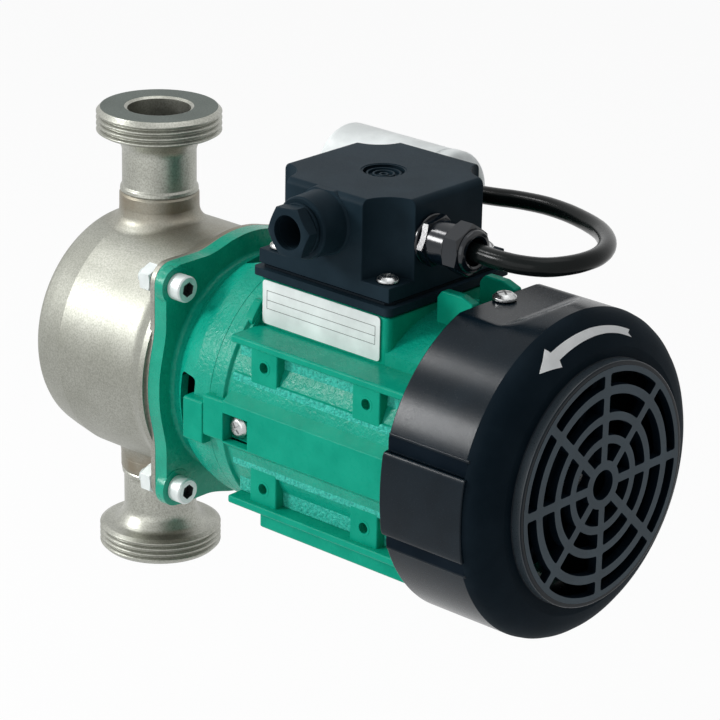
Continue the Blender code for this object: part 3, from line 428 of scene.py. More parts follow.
def saddleRing(side):
    # The drawn fillet where the collar leaves the drum. Its foot follows the drum, and its top is level.
    foot, run, collarStart, drumEnd, endReach = 3.4, 3.1, 45.2, -22, 38.0
    profile = [(-4.0, 12.3), (-4.0, 21.5), (-1.4, 20.2), (0.0, 19.4), (0.18, 18.2), (0.8, 17.0),
               (1.9, 16.0), (3.4, 15.45), (6.5, 15.3), (6.5, 12.3)]
    bm = spun(profile, 128, "Z", corners=1)
    for v in bm.verts:
        reach = drumRadius(v.co.x) if v.co.x > drumEnd else endReach
        share = 1 - max(0.0, min(1.0, (v.co.z - foot) / run))
        lift = sqrt(max(0.0, reach ** 2 - v.co.y ** 2))
        v.co.z += share * lift + (1 - share) * collarStart
    if side < 0:
        bmesh.ops.scale(bm, vec=(1, 1, -1), verts=bm.verts)
    return facedOut(bm)


def collarTube(side):
    bore = drum["bore"]
    profile = [(43.0, bore), (43.0, 15.2), (50.2, 15.3, 0.4), (50.6, 14.95, 0.2), (51.1, 14.95, 0.2),
               (51.5, 15.35, 0.4), (56.2, 15.3, 0.5), (57.0, 14.7), (57.0, bore)]
    return facedOut(spun([(side * p[0], *p[1:]) for p in profile], 128, "Z", corners=3))


def buildCasing():
    inner = [(40.0, 46.2), (33.0, 45.8, 5), (-6.2, 45.8, 3), (-20.9, 42.9, 6), (-21.0, 0)]
    body = spun(drumOuter + inner, 160, corners=7)
    plate = slab(flangeOutline(-0.15), *drum["plate"])
    plate = carved(plate, rod(46.4, 38, 45, steps=128),
                   *[rod(3.3, 38, 45, "X", (0, y, z)) for y, z in bolts])
    plate = softened(plate, 0.35, 2, 40)
    for side in (1, -1):
        low, high = span(side, 30.0, 60.0)
        body = carved(body, rod(drum["bore"], low, high, "Z", steps=64))
    finished("drumBody", merged(body, plate, saddleRing(1), saddleRing(-1), collarTube(1), collarTube(-1)),
             steelDrum, ["pump_casing"], angle=30)


def buildPort(name, side, node):
    bore, threadStart, threadPitch = drum["bore"], 80.9, 2.309
    thread = []
    for k in range(4):
        z = threadStart + threadPitch * k
        thread += [(z, 23.9, 0.25), (z + 0.5, 23.9, 0.25), (z + 1.4, 22.5, 0.2)]
    profile = [(57.04, bore), (57.04, 14.7), (57.6, 15.05, 0.4), (58.8, 14.9, 0.5), (59.6, 14.25, 0.5),
               (74.5, 14.2, 6.0), (79.5, 17.6, 3.0), (79.9, 22.2, 0.5)] + thread
    profile = profile[:-1] + [(89.4, 22.9, 0.3), (axisHeight, 22.3, 0.3), (axisHeight, 13.3, 0.3),
                              (89.2, bore)]
    port = spun([(side * p[0], *p[1:]) for p in profile], 144, "Z", corners=4)
    # The sealing faces at the port's end take the darker steel, painted shade.
    for face in port.faces:
        face.material_index = int(abs(face.calc_center_median().z) > axisHeight - 0.1)
    finished(name, port, [steelPort, steelFaceShade], [node], angle=30)


buildCasing()
buildPort("portUpper", 1, "upper_port")
buildPort("portLower", -1, "lower_port")
print("pump end made")


# Green lantern: flange, neck with windows, and the raised block on the camera's side.
lantern = {"face": 43.1, "flange": 49.0, "end": 74.4, "window": (57.0, 66.5),
           "sideWindow": (-12.0, 10.5), "topWindow": (-12, 12)}


def windowTool(axis):
    # One long cutter that opens both opposite windows.
    x0, x1 = lantern["window"]
    low, high = lantern["sideWindow" if axis == "Y" else "topWindow"]
    return slab(arcCorners([(x0, low, 2), (x1, low, 2), (x1, high, 2), (x0, high, 2)]), -60, 60, axis)


def buildLantern():
    joint = lantern["face"]
    profile = [(joint, 16.2), (joint, 47.6), (48.9, 47.6), (49.0, 41.7, 2.8), (52.8, 42.0, 3.0),
               (57.5, 45.6, 8), (65.0, 47.8, 8), (74.5, 48.4), (74.62, 48.3), (74.62, 44.8), (71.5, 44.8),
               (71.5, 22.5), (83.0, 22.5), (83.0, 17.9), (72.1, 17.9), (72.1, 9.5), (67.5, 9.5),
               (67.5, 43.2, 2),
               (57.0, 41.6, 3), (47.5, 34.0, 4), (47.5, 16.2)]
    neck = spun(profile, 192, corners=6)
    neck = painted(carved(neck, windowTool("Y"), windowTool("Z")), 1)
    for face in neck.faces:
        middle = face.calc_center_median()
        around = Vector((0, middle.y, middle.z))
        if around.dot(face.normal) < -0.5 or around.length < 41:
            face.material_index = 2 if middle.x > 43.5 else 1  # Painted shade within, cast on the joint face.
    plate = slab(flangeOutline(), lantern["face"], lantern["flange"])
    plate = carved(plate, rod(38.0, 40, 52, steps=128),
                   *[rod(3.3, 40, 52, "X", (0, y, z)) for y, z in bolts])
    plate = softened(plate, 1.3, 4, 40)
    block = slab(arcCorners([(-51.5, -12.0, 1.2), (-43.6, -12.0), (-43.6, 4.6), (-51.5, 4.6, 1.2)]), 64.4,
                 lantern["end"])
    block = softened(block, 0.6, 3, 40)
    webs = []
    for y, z in bolts:
        # A low pad of metal round each screw, under its head.
        webs.append(softened(rod(7.2, 45.0, 49.25, "X", (0, y, z), 64), 0.25, 2, 40))
    shells = [neck, painted(plate, 3), painted(block, 0)] + [painted(web, 3) for web in webs]
    enamels = [enamelSmooth, enamelCast, enamelInsideShade, enamelFlange]
    finished("lanternBody", merged(*shells), enamels, ["lantern"])


buildLantern()
print("lantern made")


# Motor housing: barrel, flanks with ledge, bands, panel, bosses and foot.
housing = {"front": 74.7, "back": 168.7, "radius": 48.4, "bore": 43.3,
           "shelf": 32.3, "bossX": (100.0, 149.0), "bossZ": 23.4}
box = {"x": 114.1, "half": 31.2, "rim": 33.0, "screw": 25.7, "low": 55.6, "high": 90.3, "pocket": 61.0}


def boxScrews():
    return [(box["x"] + a * box["screw"], b * box["screw"]) for a in (-1, 1) for b in (-1, 1)]


def screwHoles(low, high):
    return [rod(2.3, low, high, "Z", (x, y, 0), 24) for x, y in boxScrews()]


def earthRecess(floor):
    # Pocket round the earth screw, with a sloping wall behind the screw.
    return slab([(84.2, floor), (94.8, floor), (97.6, -52.5), (97.6, -60), (84.2, -60)], -7.4, 3.6, "Z")


def buildHousing():
    front, back, r, bore = (housing[key] for key in ("front", "back", "radius", "bore"))
    barrel = spun([(front, bore), (front, r - 0.1), (front + 0.1, r), (78.4, r, 0.4), (79.2, r + 1.3, 0.6),
                   (82.4, r + 1.3, 0.6), (83.2, r, 0.6), (back, r), (back, bore)], 192, corners=3)
    barrel = carved(barrel, earthRecess(-46.0), rod(7.0, 30, 60, "Z", (box["x"], 0, 0)),
                    *[cuboid((84.5, 172), span(side, 31.2, 60), (housing["shelf"], 60))
                      for side in (-1, 1)])
    shells = [painted(barrel, 1)]
    for side in (-1, 1):
        ledge = [(30, 32.5), (47.2, 32.5, 1.0), (47.2, 29.6, 1.0), (41.5, 29.3, 2.0), (38.4, 27.0),
                 (30, 26.0)]
        band = [(36, 18.4), (44.4, 18.4, 0.7), (46.0, 17.6, 0.8), (46.0, 11.9, 1.2), (50.6, 8.6, 0.8),
                (51.5, 8.0, 0.8), (51.5, -8.0, 0.8), (50.6, -8.6, 0.8), (46.0, -11.9, 1.2),
                (46.0, -17.6, 0.8), (44.4, -18.4, 0.7), (36, -18.4)]
        lower = [(30, -27), (39.0, -28.4), (41.0, -29.4, 1.0), (48.5, -29.5, 0.7), (48.5, -32.5, 0.9),
                 (30, -32.5)]
        for outline, low, index in ((ledge, 84.5, 0), (band, 84.5, 1), (lower, 84.7, 0)):
            points = [(side * p[0], *p[1:]) for p in outline]
            shell = softened(slab(arcCorners(points, 4), low, back), 0.5, 2, 50)
            if index and side < 0:
                shell = carved(shell, earthRecess(-46.4))
            painted(shell, index)
            if index:
                for face in shell.faces:
                    height = abs(face.calc_center_median().z)
                    face.material_index = 2 if 12.1 < height < 17.9 else 0
            shells.append(shell)
        tongue = slab(arcCorners([(side * 42, 8.0), (side * 51.5, 8.0, 1.2), (side * 51.5, -8.0, 1.2),
                                  (side * 42, -8.0)], 4), front, 84.8)
        shells.append(painted(softened(tongue, 0.5, 2, 50), 0))
        for x in housing["bossX"]:
            for level in (1, -1):
                y = span(side, 38.0, 46.1)
                z = span(level, 16.4, 30.2)
                boss = softened(cuboid((x - 6.5, x + 6.5), y, z), 0.6, 3, 40)
                hole = span(side, 37.0, 50.0)
                boss = carved(boss, rod(2.1, *hole, "Y", (x, 0, level * housing["bossZ"]), 32))
                rim = spun([(side * out, radius) for out, radius in
                            ((46.2, 2.05), (46.2, 2.9), (45.9, 3.1), (45.6, 2.05))],
                           32, "Y", (x, 0, level * housing["bossZ"]))
                shells += [painted(boss, 0), painted(rim, 0)]
        # The pocket floors between the bosses, flush with the barrel but rougher.
        for level in (1, -1):
            z = span(level, 18.0, 29.4)
            y = span(side, 36.0, 42.2)
            floor = cuboid((84.6, back), y, z)
            shells.append(painted(softened(floor, 0.4, 2, 40), 2))
    foot = slab([(95.0, -42.5), (back, -42.5), (back, 42.5), (95.0, 42.5)], -40.8, -31.5, "Z")
    shells.append(painted(softened(foot, 0.9, 3, 40), 0))
    corners = [(83.2, -31.3, 2.5), (146.0, -31.3, 2.5), (146.0, 31.3, 2.5), (83.2, 31.3, 2.5)]
    pedestal = slab(arcCorners(corners), 26.0, 50.0, "Z")
    pedestal = softened(pedestal, 0.6, 3, 50)
    pedestal = carved(pedestal, rod(housing["bore"], 70, 172), rod(7.0, 30, 60, "Z", (box["x"], 0, 0)),
                      *screwHoles(42, 54))
    shells.append(painted(pedestal, 0))
    for side in (-1, 1):
        tab = arcCorners([(152.0, 45.5), (168.4, 45.5), (168.4, 56.4, 0.9), (163.0, 58.3, 2.5),
                          (154.2, 58.3, 2.0), (152.0, 55.6, 1.6)])
        y = span(side, 9.5, 13.5)
        shells.append(painted(softened(slab(tab, *y, "Y"), 0.7, 3, 40), 0))
        gusset = arcCorners([(side * 29.0, 32.0), (side * 38.0, 32.0, 2), (side * 31.0, 41.0, 2),
                             (side * 29.0, 41.0)], 3)
        shells.append(painted(softened(slab(gusset, 80.4, 84.2), 0.5, 2, 40), 0))
    finished("housingBody", merged(*shells), [enamelSmooth, enamelCast, enamelHammer], ["motor_housing"])


buildHousing()
print("housing made")


# Lead from the box's gland to the capacitor's cap.
lead = {"radius": 3.4, "route": [
    (156, -10, 74.6), (162, -10, 74.6), (168, -10.2, 74.6), (177, -10.8, 74.7), (186, -9.6, 74.8),
    (194, -5.4, 74.9), (198.6, 2.6, 75), (199.8, 10.8, 75), (198.6, 18, 74.8), (195.4, 25.2, 74.5),
    (191, 31.6, 74.1), (185.6, 37.4, 73.6), (178.6, 43.2, 73), (169, 48.4, 72.5), (157, 52.4, 72.2),
    (145, 54.1, 71.9), (133, 53.6, 71.3), (124, 52, 70.7), (116, 50.9, 70.2), (110.2, 50.6, 70)]}


def smoothRoute(points, spacing):
    ends = [Vector(points[0]) * 2 - Vector(points[1])] + [Vector(p) for p in points]
    ends.append(Vector(points[-1]) * 2 - Vector(points[-2]))
    path = []
    for a, b, c, d in zip(ends, ends[1:], ends[2:], ends[3:]):
        count = max(1, round((c - b).length / spacing))
        for k in range(count):
            t = k / count
            path.append(0.5 * (2 * b + (c - a) * t + (2 * a - 5 * b + 4 * c - d) * t * t
                               + (3 * b - a - 3 * c + d) * t ** 3))
    return path + [ends[-2]]


def buildLead():
    path = [toFrame @ p for p in smoothRoute(lead["route"], 2.0)]
    curve = bpy.data.curves.new("leadToCapacitor", "CURVE")
    curve.dimensions = "3D"
    curve.bevel_depth = lead["radius"] * metre
    curve.bevel_resolution = 8
    curve.use_fill_caps = True
    spline = curve.splines.new("POLY")
    spline.use_smooth = True
    spline.points.add(len(path) - 1)
    for point, place in zip(spline.points, path):
        point.co = (*place, 1)
    curve.materials.append(cableSheath)
    cable = bpy.data.objects.new("leadToCapacitor", curve)
    bpy.context.scene.collection.objects.link(cable)
    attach(cable, "frame")
    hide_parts("capacitor_lead")


buildLead()
print("lead made")


# Fan cover: shell, pads, flats, grille disc and the painted arrow.
cover = {"front": 168.9, "edge": 203.5, "radius": 60.0, "wall": 2.5, "flat": 56.0, "flatEnd": 186.0,
         "rings": ((36.1, 40.9), (26.4, 32.9), (18.0, 23.4), (8.8, 15.0)), "spokes": 8, "spoke": 3.2}
shoulder = [(203.5, 60.0), (205.8, 59.6), (207.8, 58.7), (210.0, 57.0), (211.8, 54.8), (213.3, 52.0),
            (214.3, 48.6)]


def shoulderX(radius):
    for (x0, r0), (x1, r1) in zip(shoulder, shoulder[1:]):
        if r1 <= radius <= r0:
            return x0 + (x1 - x0) * (r0 - radius) / (r0 - r1)
    return shoulder[-1][0]


def grilleOpening(inner, outer, spoke):
    start = 2 * pi * spoke / cover["spokes"]
    end = start + 2 * pi / cover["spokes"]
    points = []
    for radius, order in ((outer, range(11)), (inner, range(10, -1, -1))):
        half = asin(cover["spoke"] / 2 / radius)
        for k in order:
            angle = start + half + (end - start - 2 * half) * k / 10
            points.append((radius * sin(angle), radius * cos(angle), 0.8 if k in (0, 10) else 0))
    return slab(arcCorners(points, 3), 213.0, 221.0)


def smoothPairs(points):
    # The same share of the way on both edges at each step, so that the head's base is straight.
    headShare, least = 0.17, 0.02
    marks = [0.0]
    for a, b in zip(points, points[1:]):
        marks.append(marks[-1] + max(least, abs(b[0] - a[0])))
    neck = next(i for i in range(1, len(points)) if abs(points[i][0] - points[i + 1][0]) < 1.0)
    result = []
    for k in range(arrow["steps"] + 1):
        want = k / arrow["steps"]
        if want <= headShare:
            place = want / headShare * marks[neck]
        else:
            place = marks[neck] + (want - headShare) / (1 - headShare) * (marks[-1] - marks[neck])
        for (a, b), (low, high) in zip(zip(points, points[1:]), zip(marks, marks[1:])):
            if low <= place <= high + 1e-9:
                t = (place - low) / (high - low)
                result.append((a[0] + (b[0] - a[0]) * t, a[1] + (b[1] - a[1]) * t))
                break
    return result


# Edges in degrees from the top and millimetres from the motor's axis, laid on the shoulder.
arrow = {"steps": 60, "columns": 6, "lift": 0.12, "thickness": 0.1, "notch": 0.3, "notchRows": 6,
         "outer": [(-31.6, 55.4), (-23.0, 58.4), (-22.6, 56.9), (-16, 56.8), (-9.8, 56.6), (-1.7, 56.3),
                   (6.3, 55.7), (13, 55.1), (20.2, 54.2)],
         "inner": [(-31.6, 55.4), (-22.1, 51.4), (-22.2, 53.7), (-16, 53.8), (-9.4, 53.8), (-1.7, 53.7),
                   (6, 53.4), (13, 52.8), (21.0, 51.8)]}


def paintedArrow():
    upper, lower, columns = smoothPairs(arrow["outer"]), smoothPairs(arrow["inner"]), arrow["columns"]
    bm = bmesh.new()
    rows = []
    for (a, ra), (b, rb) in zip(upper, lower):
        row = []
        # The tail's end is cut in to a shallow notch.
        deep = arrow["notch"] * max(0, len(rows) - len(upper) + arrow["notchRows"])
        for k in range(columns + 1):
            notch = deep * (1 - abs(k - columns / 2) / (columns / 2))
            angle = radians(a + (b - a) * k / columns - notch)
            radius = ra + (rb - ra) * k / columns
            x = shoulderX(radius) + arrow["lift"]
            row.append(bm.verts.new((x, radius * sin(angle), radius * cos(angle))))
        rows.append(row)
    for first, second in zip(rows, rows[1:]):
        for k in range(columns):
            bm.faces.new((first[k], second[k], second[k + 1], first[k + 1]))
    bmesh.ops.remove_doubles(bm, verts=bm.verts, dist=0.001)
    facedOut(bm)
    bmesh.ops.solidify(bm, geom=list(bm.faces), thickness=arrow["thickness"])
    return facedOut(bm)


def flattened(bm):
    # The flats above and below, which run out to the full round before the shoulder.
    rise = 6.0
    for v in bm.verts:
        share = max(0.0, min(1.0, (v.co.x - cover["flatEnd"]) / (cover["edge"] - cover["flatEnd"])))
        outside = hypot(v.co.y, v.co.z) > cover["radius"] - cover["wall"] / 2
        limit = cover["flat"] - (0 if outside else cover["wall"]) + rise * share * share * (3 - 2 * share)
        v.co.z = max(-limit, min(limit, v.co.z))
    return bm


def buildCover():
    stations = [cover["flatEnd"] + 1.4 * k for k in range(11)]
    front, edge, r = cover["front"], cover["edge"], cover["radius"]
    bore = r - cover["wall"]
    outer = [(front, r, 0.5)] + [(x, r) for x in stations] + [(edge, r, 0.4)] + shoulder[1:-1] + [
        (*shoulder[-1], 0.5), (214.3, 44.6, 0.3), (218.3, 44.6, 0.6), (218.3, 42.9)]
    inner = [(213.0, 42.9), (211.8, 46.0), (209.4, 53.6), (202.9, bore)] + [(x, bore) for x in stations[::-1]]
    shell = flattened(spun(outer + inner + [(front, bore)], 320, corners=3))
    tools = []
    for side in (-1, 1):
        for level in (-1, 1):
            y = span(side, 56.4, 66.0)
            z = span(level, 15.4, 20.7)
            tools.append(cuboid((166, 204.4), y, z))
        tools.append(rod(2.3, 45 * side, 62 * side, "Z", (171.6, 0, 0), 32))
    shell = carved(shell, *tools)
    for face in shell.faces:
        middle = face.calc_center_median()
        away = hypot(middle.y, middle.z)
        # The raised ring's outer side takes a lighter, glossier plastic: a painted highlight.
        raised = 214.6 < middle.x < 218.0 and away > 44.0
        face.material_index = 3 if raised else int(middle.x > edge + 0.05 and away > 44.7)
    shells = [shell]
    for side in (-1, 1):
        crown = [(side * (60.6 - 0.0055 * z * z), z) for z in range(-14, 15, 2)]
        pad = [(side * 57.0, -15.4), (side * 58.9, -15.4), *crown, (side * 58.9, 15.4), (side * 57.0, 15.4)]
        shells.append(painted(softened(slab(pad, front, 205.3), 0.4, 3, 50), 0))
        for level in (-1, 1):
            # The groove's raised lip beside the pad.
            z = span(level, 20.3, 21.6)
            y = sorted((side * 55.0, side * (sqrt(r ** 2 - 21.6 ** 2) + 0.4)))
            shells.append(painted(softened(cuboid((front, 204.9), y, z), 0.4, 3, 50), 0))
            # A dark strip on the groove's floor: painted shade in the groove.
            y = span(side, 56.2, 56.5)
            shells.append(painted(cuboid((169.2, 204.3), y, span(level, 15.5, 20.6)), 2))
    disc = rod(42.95, 215.0, 218.4, steps=192)
    openings = [grilleOpening(a, b, k) for a, b in cover["rings"] for k in range(cover["spokes"])]
    disc = carved(disc, merged(*openings), rod(5.5, 213, 221, steps=64))
    # The openings' side walls take the dark plastic: painted shade within the openings.
    for face in disc.faces:
        face.material_index = int(abs(face.normal.x) < 0.5)
    disc = softened(disc, 0.3, 2, 40)
    finished("fanCoverShell", merged(*shells), [plasticCover, plasticShoulder, plasticDarkAndShade, plasticRingHighlight],
             ["fan_cover"])
    finished("fanCoverGrille", disc, [plasticGrille, plasticDarkAndShade])
    finished("rotationArrow", paintedArrow(), whitePaint, angle=60)


buildCover()
print("fan cover made")


# Terminal box: cover with corner pockets, base plate, glands.
def hexPiece(across, low, high, axis, centre, turn, bore, chamfer=0.9, soft=0.25):
    points = [(across / sqrt(3) * cos(turn + k * pi / 3), across / sqrt(3) * sin(turn + k * pi / 3))
              for k in range(6)]
    a, b = {"X": (centre[1], centre[2]), "Y": (centre[0], centre[2])}[axis]
    blank = slab([(a + p, b + q) for p, q in points], low, high, axis)
    corner, flat = across / sqrt(3) + 0.1, across / 2 * 0.97
    dome = spun([(low, 0), (low, flat), (low + chamfer, corner), (high - chamfer, corner), (high, flat),
                 (high, 0)], 96, axis, centre)
    piece = carved(blank, dome, operation="INTERSECT")
    piece = carved(piece, rod(bore, low - 1, high + 1, axis, centre, 64))
    return softened(piece, soft, 2, 25)


mainsGland = (box["x"], 0, 78.5)
leadGland = (0, -10, 74.6)


def buildBox():
    x, half, lid = box["x"], box["half"], box["high"]
    body = cuboid((x - half, x + half), (-half, half), (box["low"], lid))
    top = [e for e in body.edges if all(v.co.z > lid - 0.01 for v in e.verts)]
    bmesh.ops.bevel(body, geom=top, offset=2.6, segments=6, profile=0.5, affect="EDGES")
    for a, b in ((-1, -1), (-1, 1), (1, -1), (1, 1)):
        body = carved(body, rod(13.0, box["pocket"], 95, "Z", (x + a * half, b * half, 0), 96))
    bmesh.ops.remove_doubles(body, verts=body.verts, dist=0.06)
    body.normal_update()
    rims = [e for e in body.edges if len(e.link_faces) == 2 and e.calc_face_angle(0) > radians(38)]
    bmesh.ops.bevel(body, geom=rims, offset=0.4, segments=2, profile=0.5, affect="EDGES", clamp_overlap=False)
    inner, chamfer = half - 2.6, 12.4
    hollow = [(inner, chamfer), (chamfer, inner), (-chamfer, inner), (-inner, chamfer),
              (-inner, -chamfer), (-chamfer, -inner), (chamfer, -inner), (inner, -chamfer)]
    body = carved(body, slab([(x + a, b) for a, b in hollow], 54.0, 87.3, "Z"),
                  rod(7.7, -45, -25, "Y", mainsGland), rod(6.4, 120, 150, "X", leadGland),
                  rod(8.3, 88.2, 93, "Z", (x, 0, 0), 64), *screwHoles(54, 63))
    shells = [body]
    for radius, top in ((8.3, 90.1), (6.4, 89.4), (4.1, 89.2), (1.8, 89.0)):
        # The closed knock-out in the lid: a fine rim and stepped rings.
        low = 88.0 if radius < 8 else 90.0
        ring = [(low, radius - 0.8), (top, radius - 0.8, 0.2), (top, radius, 0.2), (low, radius + 0.1)]
        shells.append(spun(ring, 64, "Z", (x, 0, 0)))
    boss = spun([(-29.0, 7.7), (-29.0, 12.7), (-31.3, 12.5, 0.6), (-31.9, 11.7, 0.6), (-42.2, 11.3, 0.5),
                 (-42.9, 10.8, 0.4), (-42.9, 7.7)], 128, "Y", mainsGland)
    for v in boss.verts:
        v.co.z = min(v.co.z, lid)  # The collar is flush with the lid.
    shells.append(boss)
    finished("boxCover", merged(*shells), plasticBox, ["terminal_cover"], angle=34)
    rim = [(x + a * box["rim"], b * box["rim"], 2.5) for a, b in ((1, 1), (-1, 1), (-1, -1), (1, -1))]
    plate = slab(arcCorners(rim, 5), 51.3, 54.2, "Z")
    plate = carved(plate, rod(7.0, 48, 60, "Z", (x, 0, 0)), *screwHoles(48, 60))
    finished("boxBase", softened(plate, 0.6, 3, 50), plasticBox, ["terminal_base"])


def buildGlands():
    # The mains gland is open, with no cable fitted.
    sleeve = spun([(-26.5, 6.2), (-26.5, 7.2), (-43.2, 7.2), (-43.2, 9.4, 0.3), (-44.4, 9.2, 0.3),
                   (-44.4, 7.2), (-47.3, 7.2), (-47.3, 6.2)], 96, "Y", mainsGland)
    finished("mainsGlandSleeve", sleeve, plasticBox, ["mains_gland_body"])
    nut = hexPiece(17.4, -49.7, -44.6, "Y", mainsGland, 0.12, 6.3, 0.7, 0.3)
    nut = carved(nut, rod(7.5, -47.6, -44, "Y", mainsGland))
    finished("mainsGlandNut", nut, plasticBox, ["mains_gland_nut"])
    body = hexPiece(16.4, 146.6, 149.9, "X", leadGland, 0.15, 4.2, 0.6)
    washer = spun([(145.6, 4.2), (145.6, 9.3, 0.4), (146.9, 9.3, 0.5), (146.9, 4.2)], 96, "X", leadGland)
    barrel = spun([(139.3, 4.2), (139.3, 6.0), (146.3, 6.0), (149.6, 7.0), (149.6, 7.9, 0.3),
                   (157.4, 7.9, 0.6), (157.4, 6.9), (160.2, 6.9), (160.2, 4.2)], 96, "X", leadGland)
    body = merged(body, washer, barrel)
    finished("leadGlandBody", body, glossPlastic, ["lead_gland_body"])
    nut = hexPiece(16.8, 157.8, 164.6, "X", leadGland, 0.45, 5.2, 0.8, 0.3)
    nut = carved(nut, rod(7.2, 155, 160.6, "X", leadGland))
    nose = spun([(164.2, 5.2), (164.2, 7.9, 0.5), (166.2, 7.6, 0.9), (166.6, 5.9, 0.4), (166.2, 5.2)], 96,
                "X", leadGland)
    finished("leadGlandNut", merged(nut, nose), glossPlastic, ["lead_gland_nut"])


buildBox()
buildGlands()
print("terminal box made")


# Screws and nuts.
def capScrew(name, node, y, z):
    thread = []
    for k in range(8):  # A thread of 1 mm pitch behind the nut.
        thread += [(31.9 + k, 2.9, 0.1), (32.3 + k, 2.5, 0.1)]
    profile = [(31.6, 0), (31.6, 2.5)] + thread + [(40.2, 2.9), (49.3, 2.9), (49.3, 5.0, 0.4), (54.7, 5.0),
                                                   (55.3, 4.5, 0.2), (55.3, 3.1, 0.2), (55.0, 0)]
    body = spun(profile, 64, "X", (0, y, z), 3)
    corner = 5.0 / sqrt(3)
    turns = [0.3 + k * pi / 3 for k in range(6)]
    socket = slab([(y + corner * cos(turn), z + corner * sin(turn)) for turn in turns], 52.1, 57)
    body = carved(painted(body, 0), painted(socket, 1))
    finished(name, body, [zincPlate, socketShade], [node], angle=28)


def crossScrew(name, node, axis, centre, seat, tip, headR, shankR, turn=0.4):
    out = 1 if seat > tip else -1
    head = 0.62 * headR
    profile = [(tip, 0), (tip, shankR), (seat, shankR), (seat, headR * 0.94), (seat + out * 0.25, headR, 0.2),
               (seat + out * 0.42 * head, headR * 0.985, 0.5), (seat + out * 0.86 * head, 0.66 * headR, 1.5),
               (seat + out * head, 0)]
    body = spun(profile, 64, axis, centre, 4)
    level, size = seat + out * (head - 0.1), 0.52 * headR
    shift = {"Y": (centre[0], level, centre[2]), "Z": (centre[0], centre[1], level)}[axis]
    tilt = Matrix.Rotation(pi / 2 if axis == "Y" else 0, 3, "X")
    for k in range(2):
        blade = cuboid((-size, size), (-0.42, 0.42), (-0.8, 0.8))
        swing = tilt @ Matrix.Rotation(turn + k * pi / 2, 3, "Z")
        bmesh.ops.rotate(blade, cent=(0, 0, 0), matrix=swing, verts=blade.verts)
        bmesh.ops.translate(blade, vec=shift, verts=blade.verts)
        body = carved(body, blade)
    finished(name, body, brightSteel, [node], angle=28)


for letter, (y, z) in zip("abcd", bolts):
    capScrew("flangeScrew_" + letter, "flange_screw_" + letter, y, z)
    nut = hexPiece(10.0, 34.8, 40.1, "X", (0, y, z), pi / 2, 3.3, 0.6, 0.2)
    finished("flangeNut_" + letter, nut, zincPlate, ["flange_nut_" + letter], angle=28)
for letter, (x, y) in zip("abcd", boxScrews()):
    crossScrew("boxScrew_" + letter, "box_screw_" + letter, "Z", (x, y, 0), 61.3, 44.0, 4.0, 2.0)
crossScrew("earthScrew", "earth_screw", "Y", (89.2, 0, -2.0), -46.7, -44.6, 4.3, 1.9, 0.7)
for side, word in ((1, "upper"), (-1, "lower")):
    crossScrew("coverScrew_" + word, "fan_cover_screw_" + word, "Z", (171.6, 0, 0), side * 56.3, side * 48.0,
               4.4, 1.9, 0.9)
print("fasteners made")


# Capacitor with its cap and bracket, and the bare rating plate.
def buildCapacitor():
    y, z, r = 50.5, 66.6, 17.0
    low, high = 85.2, 97.2  # The clamp.
    can = spun([(48.5, 0), (48.5, r - 2.6, 1.5), (50.5, r, 3.2), (98.2, r, 0.3), (98.6, r - 0.35, 0.2),
                (99.0, r, 0.3), (99.6, r, 0.2), (99.6, 0)], 144, "X", (0, y, z))
    finished("capacitorCan", can, whiteCase, ["capacitor"])
    lid = spun([(99.9, 0), (99.9, r + 0.3, 0.4), (105.3, r + 0.3, 3.6), (107.5, r - 3.6, 3.0), (107.5, 0)],
               144, "X", (0, y, z), 7)
    nipple = spun([(104.9, 0), (104.9, 6.2), (107.8, 5.6, 0.5), (109.0, 5.0, 0.8), (109.6, 3.6, 0.2),
                   (109.6, 0)], 64, "X", (0, *lead["route"][-1][1:]))
    finished("capacitorLid", merged(lid, nipple), whiteCase, ["capacitor_cap"])
    band = spun([(low, 17.3), (low, 18.6, 0.3), (high, 18.6, 0.3), (high, 17.3)], 144, "X", (0, y, z))
    band = carved(band, cuboid((84, 99), (25, 75), (z + 5.0, 90)))
    leg = slab(arcCorners([(36.0, 32.8), (45.9, 32.8, 1.6), (45.9, 50.2), (44.4, 50.2), (44.4, 34.3, 0.4),
                           (36.0, 34.3)], 4), low, high)
    leg = carved(leg, rod(2.2, 30, 36, "Z", ((low + high) / 2, 40.0, 0), 32))
    finished("capacitorClamp", merged(band, softened(leg, 0.3, 2, 50)), zincPlate, ["capacitor_bracket"])


def buildPlate():
    film = slab(arcCorners([(85.6, 33.4, 1.4), (142.2, 33.4, 1.4), (142.2, 50.0, 1.4), (85.6, 50.0, 1.4)], 6),
                -32.0, -31.6, "Y")
    left, right, top, bottom, depth, half = 87.8, 140.0, 46.2, 39.4, (-32.06, -31.9), 0.09
    lines = [cuboid((left, right), depth, (z - half, z + half)) for z in (top, 42.6, bottom)]
    lines += [cuboid((x - half, x + half), depth, (bottom, top)) for x in (left, right)]
    finished("ratingFilm", softened(film, 0.12, 2, 50), labelFilm, ["rating_plate"])
    finished("ratingLines", merged(*lines), labelInk)


buildCapacitor()
buildPlate()
print("capacitor and plate made")


# CAD nodes that stay in sight or inside keep their shape and get a finish of their own.
innerLooks = {
    steelDrum: ["suction_bend", "casing_cover", "seal_spring", "impeller_nut"],
    enamelSmooth: ["rear_shield"],
    plasticDarkAndShade: ["cooling_fan"],
    brightSteel: ["shaft", "front_bearing_outer", "front_bearing_inner", "rear_bearing_outer",
                  "rear_bearing_inner"],
    darkRubber: ["casing_o_ring", "water_slinger", "cover_gasket", "base_gasket"],
    ceramicFace: ["seal_seat", "seal_ring"],
    impellerPlastic: ["impeller"],
    ironStack: ["stator_core", "rotor_core"],
    copperWire: ["front_winding", "rear_winding"],
    cageBrass: ["front_bearing_balls", "rear_bearing_balls"],
    creamPlastic: ["terminal_block"],
}
for look, names in innerLooks.items():
    for name in names:
        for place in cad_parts[name].material_slots:
            place.material = look


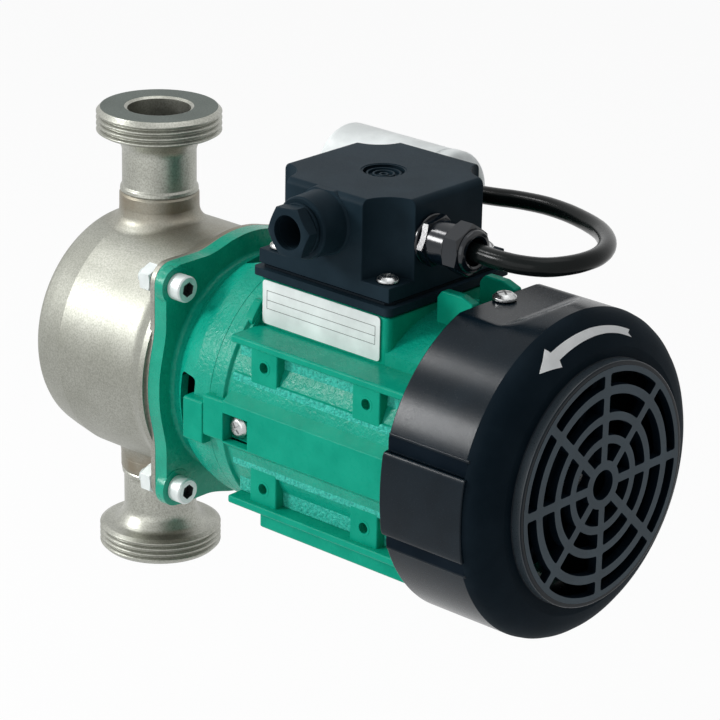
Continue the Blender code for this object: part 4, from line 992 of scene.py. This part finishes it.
# Studio: pale floor, white surroundings for camera and reflections, soft lamps. Lengths are metres here.
floorLevel = -0.11
lampAim = Vector((0.09, 0, 0.09))
lamps = (  # Name, place, watts and width.
    ("keyLamp", (-0.82, -1.05, 0.70), 12, 0.36),
    ("upperLamp", (-0.80, -0.42, 1.22), 3.5, 0.25),
    ("frontLamp", (0.05, -1.50, 0.35), 5, 1.2),
    ("topLamp", (0.15, 0.2, 1.6), 4, 1.0),
)


def whiteRays(tree):
    # 1 for the rays that see plain white: camera, glossy and transmission.
    path = addNode(tree, "LightPath")
    seen = path.outputs["Is Camera Ray"]
    for ray in ("Is Glossy Ray", "Is Transmission Ray"):
        seen = addNode(tree, "Math", {0: seen, 1: path.outputs[ray]}, operation="MAXIMUM").outputs[0]
    return seen


def mixedShader(tree, share, first, second, output):
    mix = addNode(tree, "MixShader", {0: share})
    tree.links.new(first.outputs[0], mix.inputs[1])
    tree.links.new(second.outputs[0], mix.inputs[2])
    tree.links.new(mix.outputs[0], tree.nodes[output].inputs["Surface"])


def addFloor():
    bm = bmesh.new()
    bmesh.ops.create_grid(bm, x_segments=8, y_segments=8, size=3.0)
    bmesh.ops.translate(bm, vec=(0.1, 0, floorLevel), verts=bm.verts)
    mesh = bpy.data.meshes.new("studioFloor")
    bm.to_mesh(mesh)
    bm.free()
    floor = bpy.data.objects.new("studioFloor", mesh)
    bpy.context.scene.collection.objects.link(floor)
    material, tree, shader = startMaterial("studioFloor", (0.86, 0.86, 0.86), 0.8)
    # A tenth of the plain floor shows through the white, so that the shadow stays.
    share = addNode(tree, "Math", {0: whiteRays(tree), 1: 0.9}, operation="MULTIPLY").outputs[0]
    glow = addNode(tree, "Emission", {"Color": (1, 1, 1, 1), "Strength": 1.02})
    mixedShader(tree, share, shader, glow, "Material Output")
    mesh.materials.append(material)


def addWorld():
    world = bpy.data.worlds.new("studio")
    bpy.context.scene.world = world
    world.use_nodes = True
    tree = world.node_tree
    plain = tree.nodes["Background"]
    plain.inputs["Color"].default_value = (0.95, 0.98, 1.0, 1)
    plain.inputs["Strength"].default_value = 0.24
    white = addNode(tree, "Background", {"Color": (1, 1, 1, 1), "Strength": 1.0})
    mixedShader(tree, whiteRays(tree), plain, white, "World Output")


def addLamps():
    for name, place, watts, width in lamps:
        data = bpy.data.lights.new(name, "AREA")
        data.energy = watts
        data.size = width
        lamp = bpy.data.objects.new(name, data)
        lamp.location = place
        lamp.rotation_mode = "QUATERNION"
        lamp.rotation_quaternion = (Vector(place) - lampAim).to_track_quat("Z", "Y")
        bpy.context.scene.collection.objects.link(lamp)


addFloor()
addWorld()
addLamps()
print("studio made")
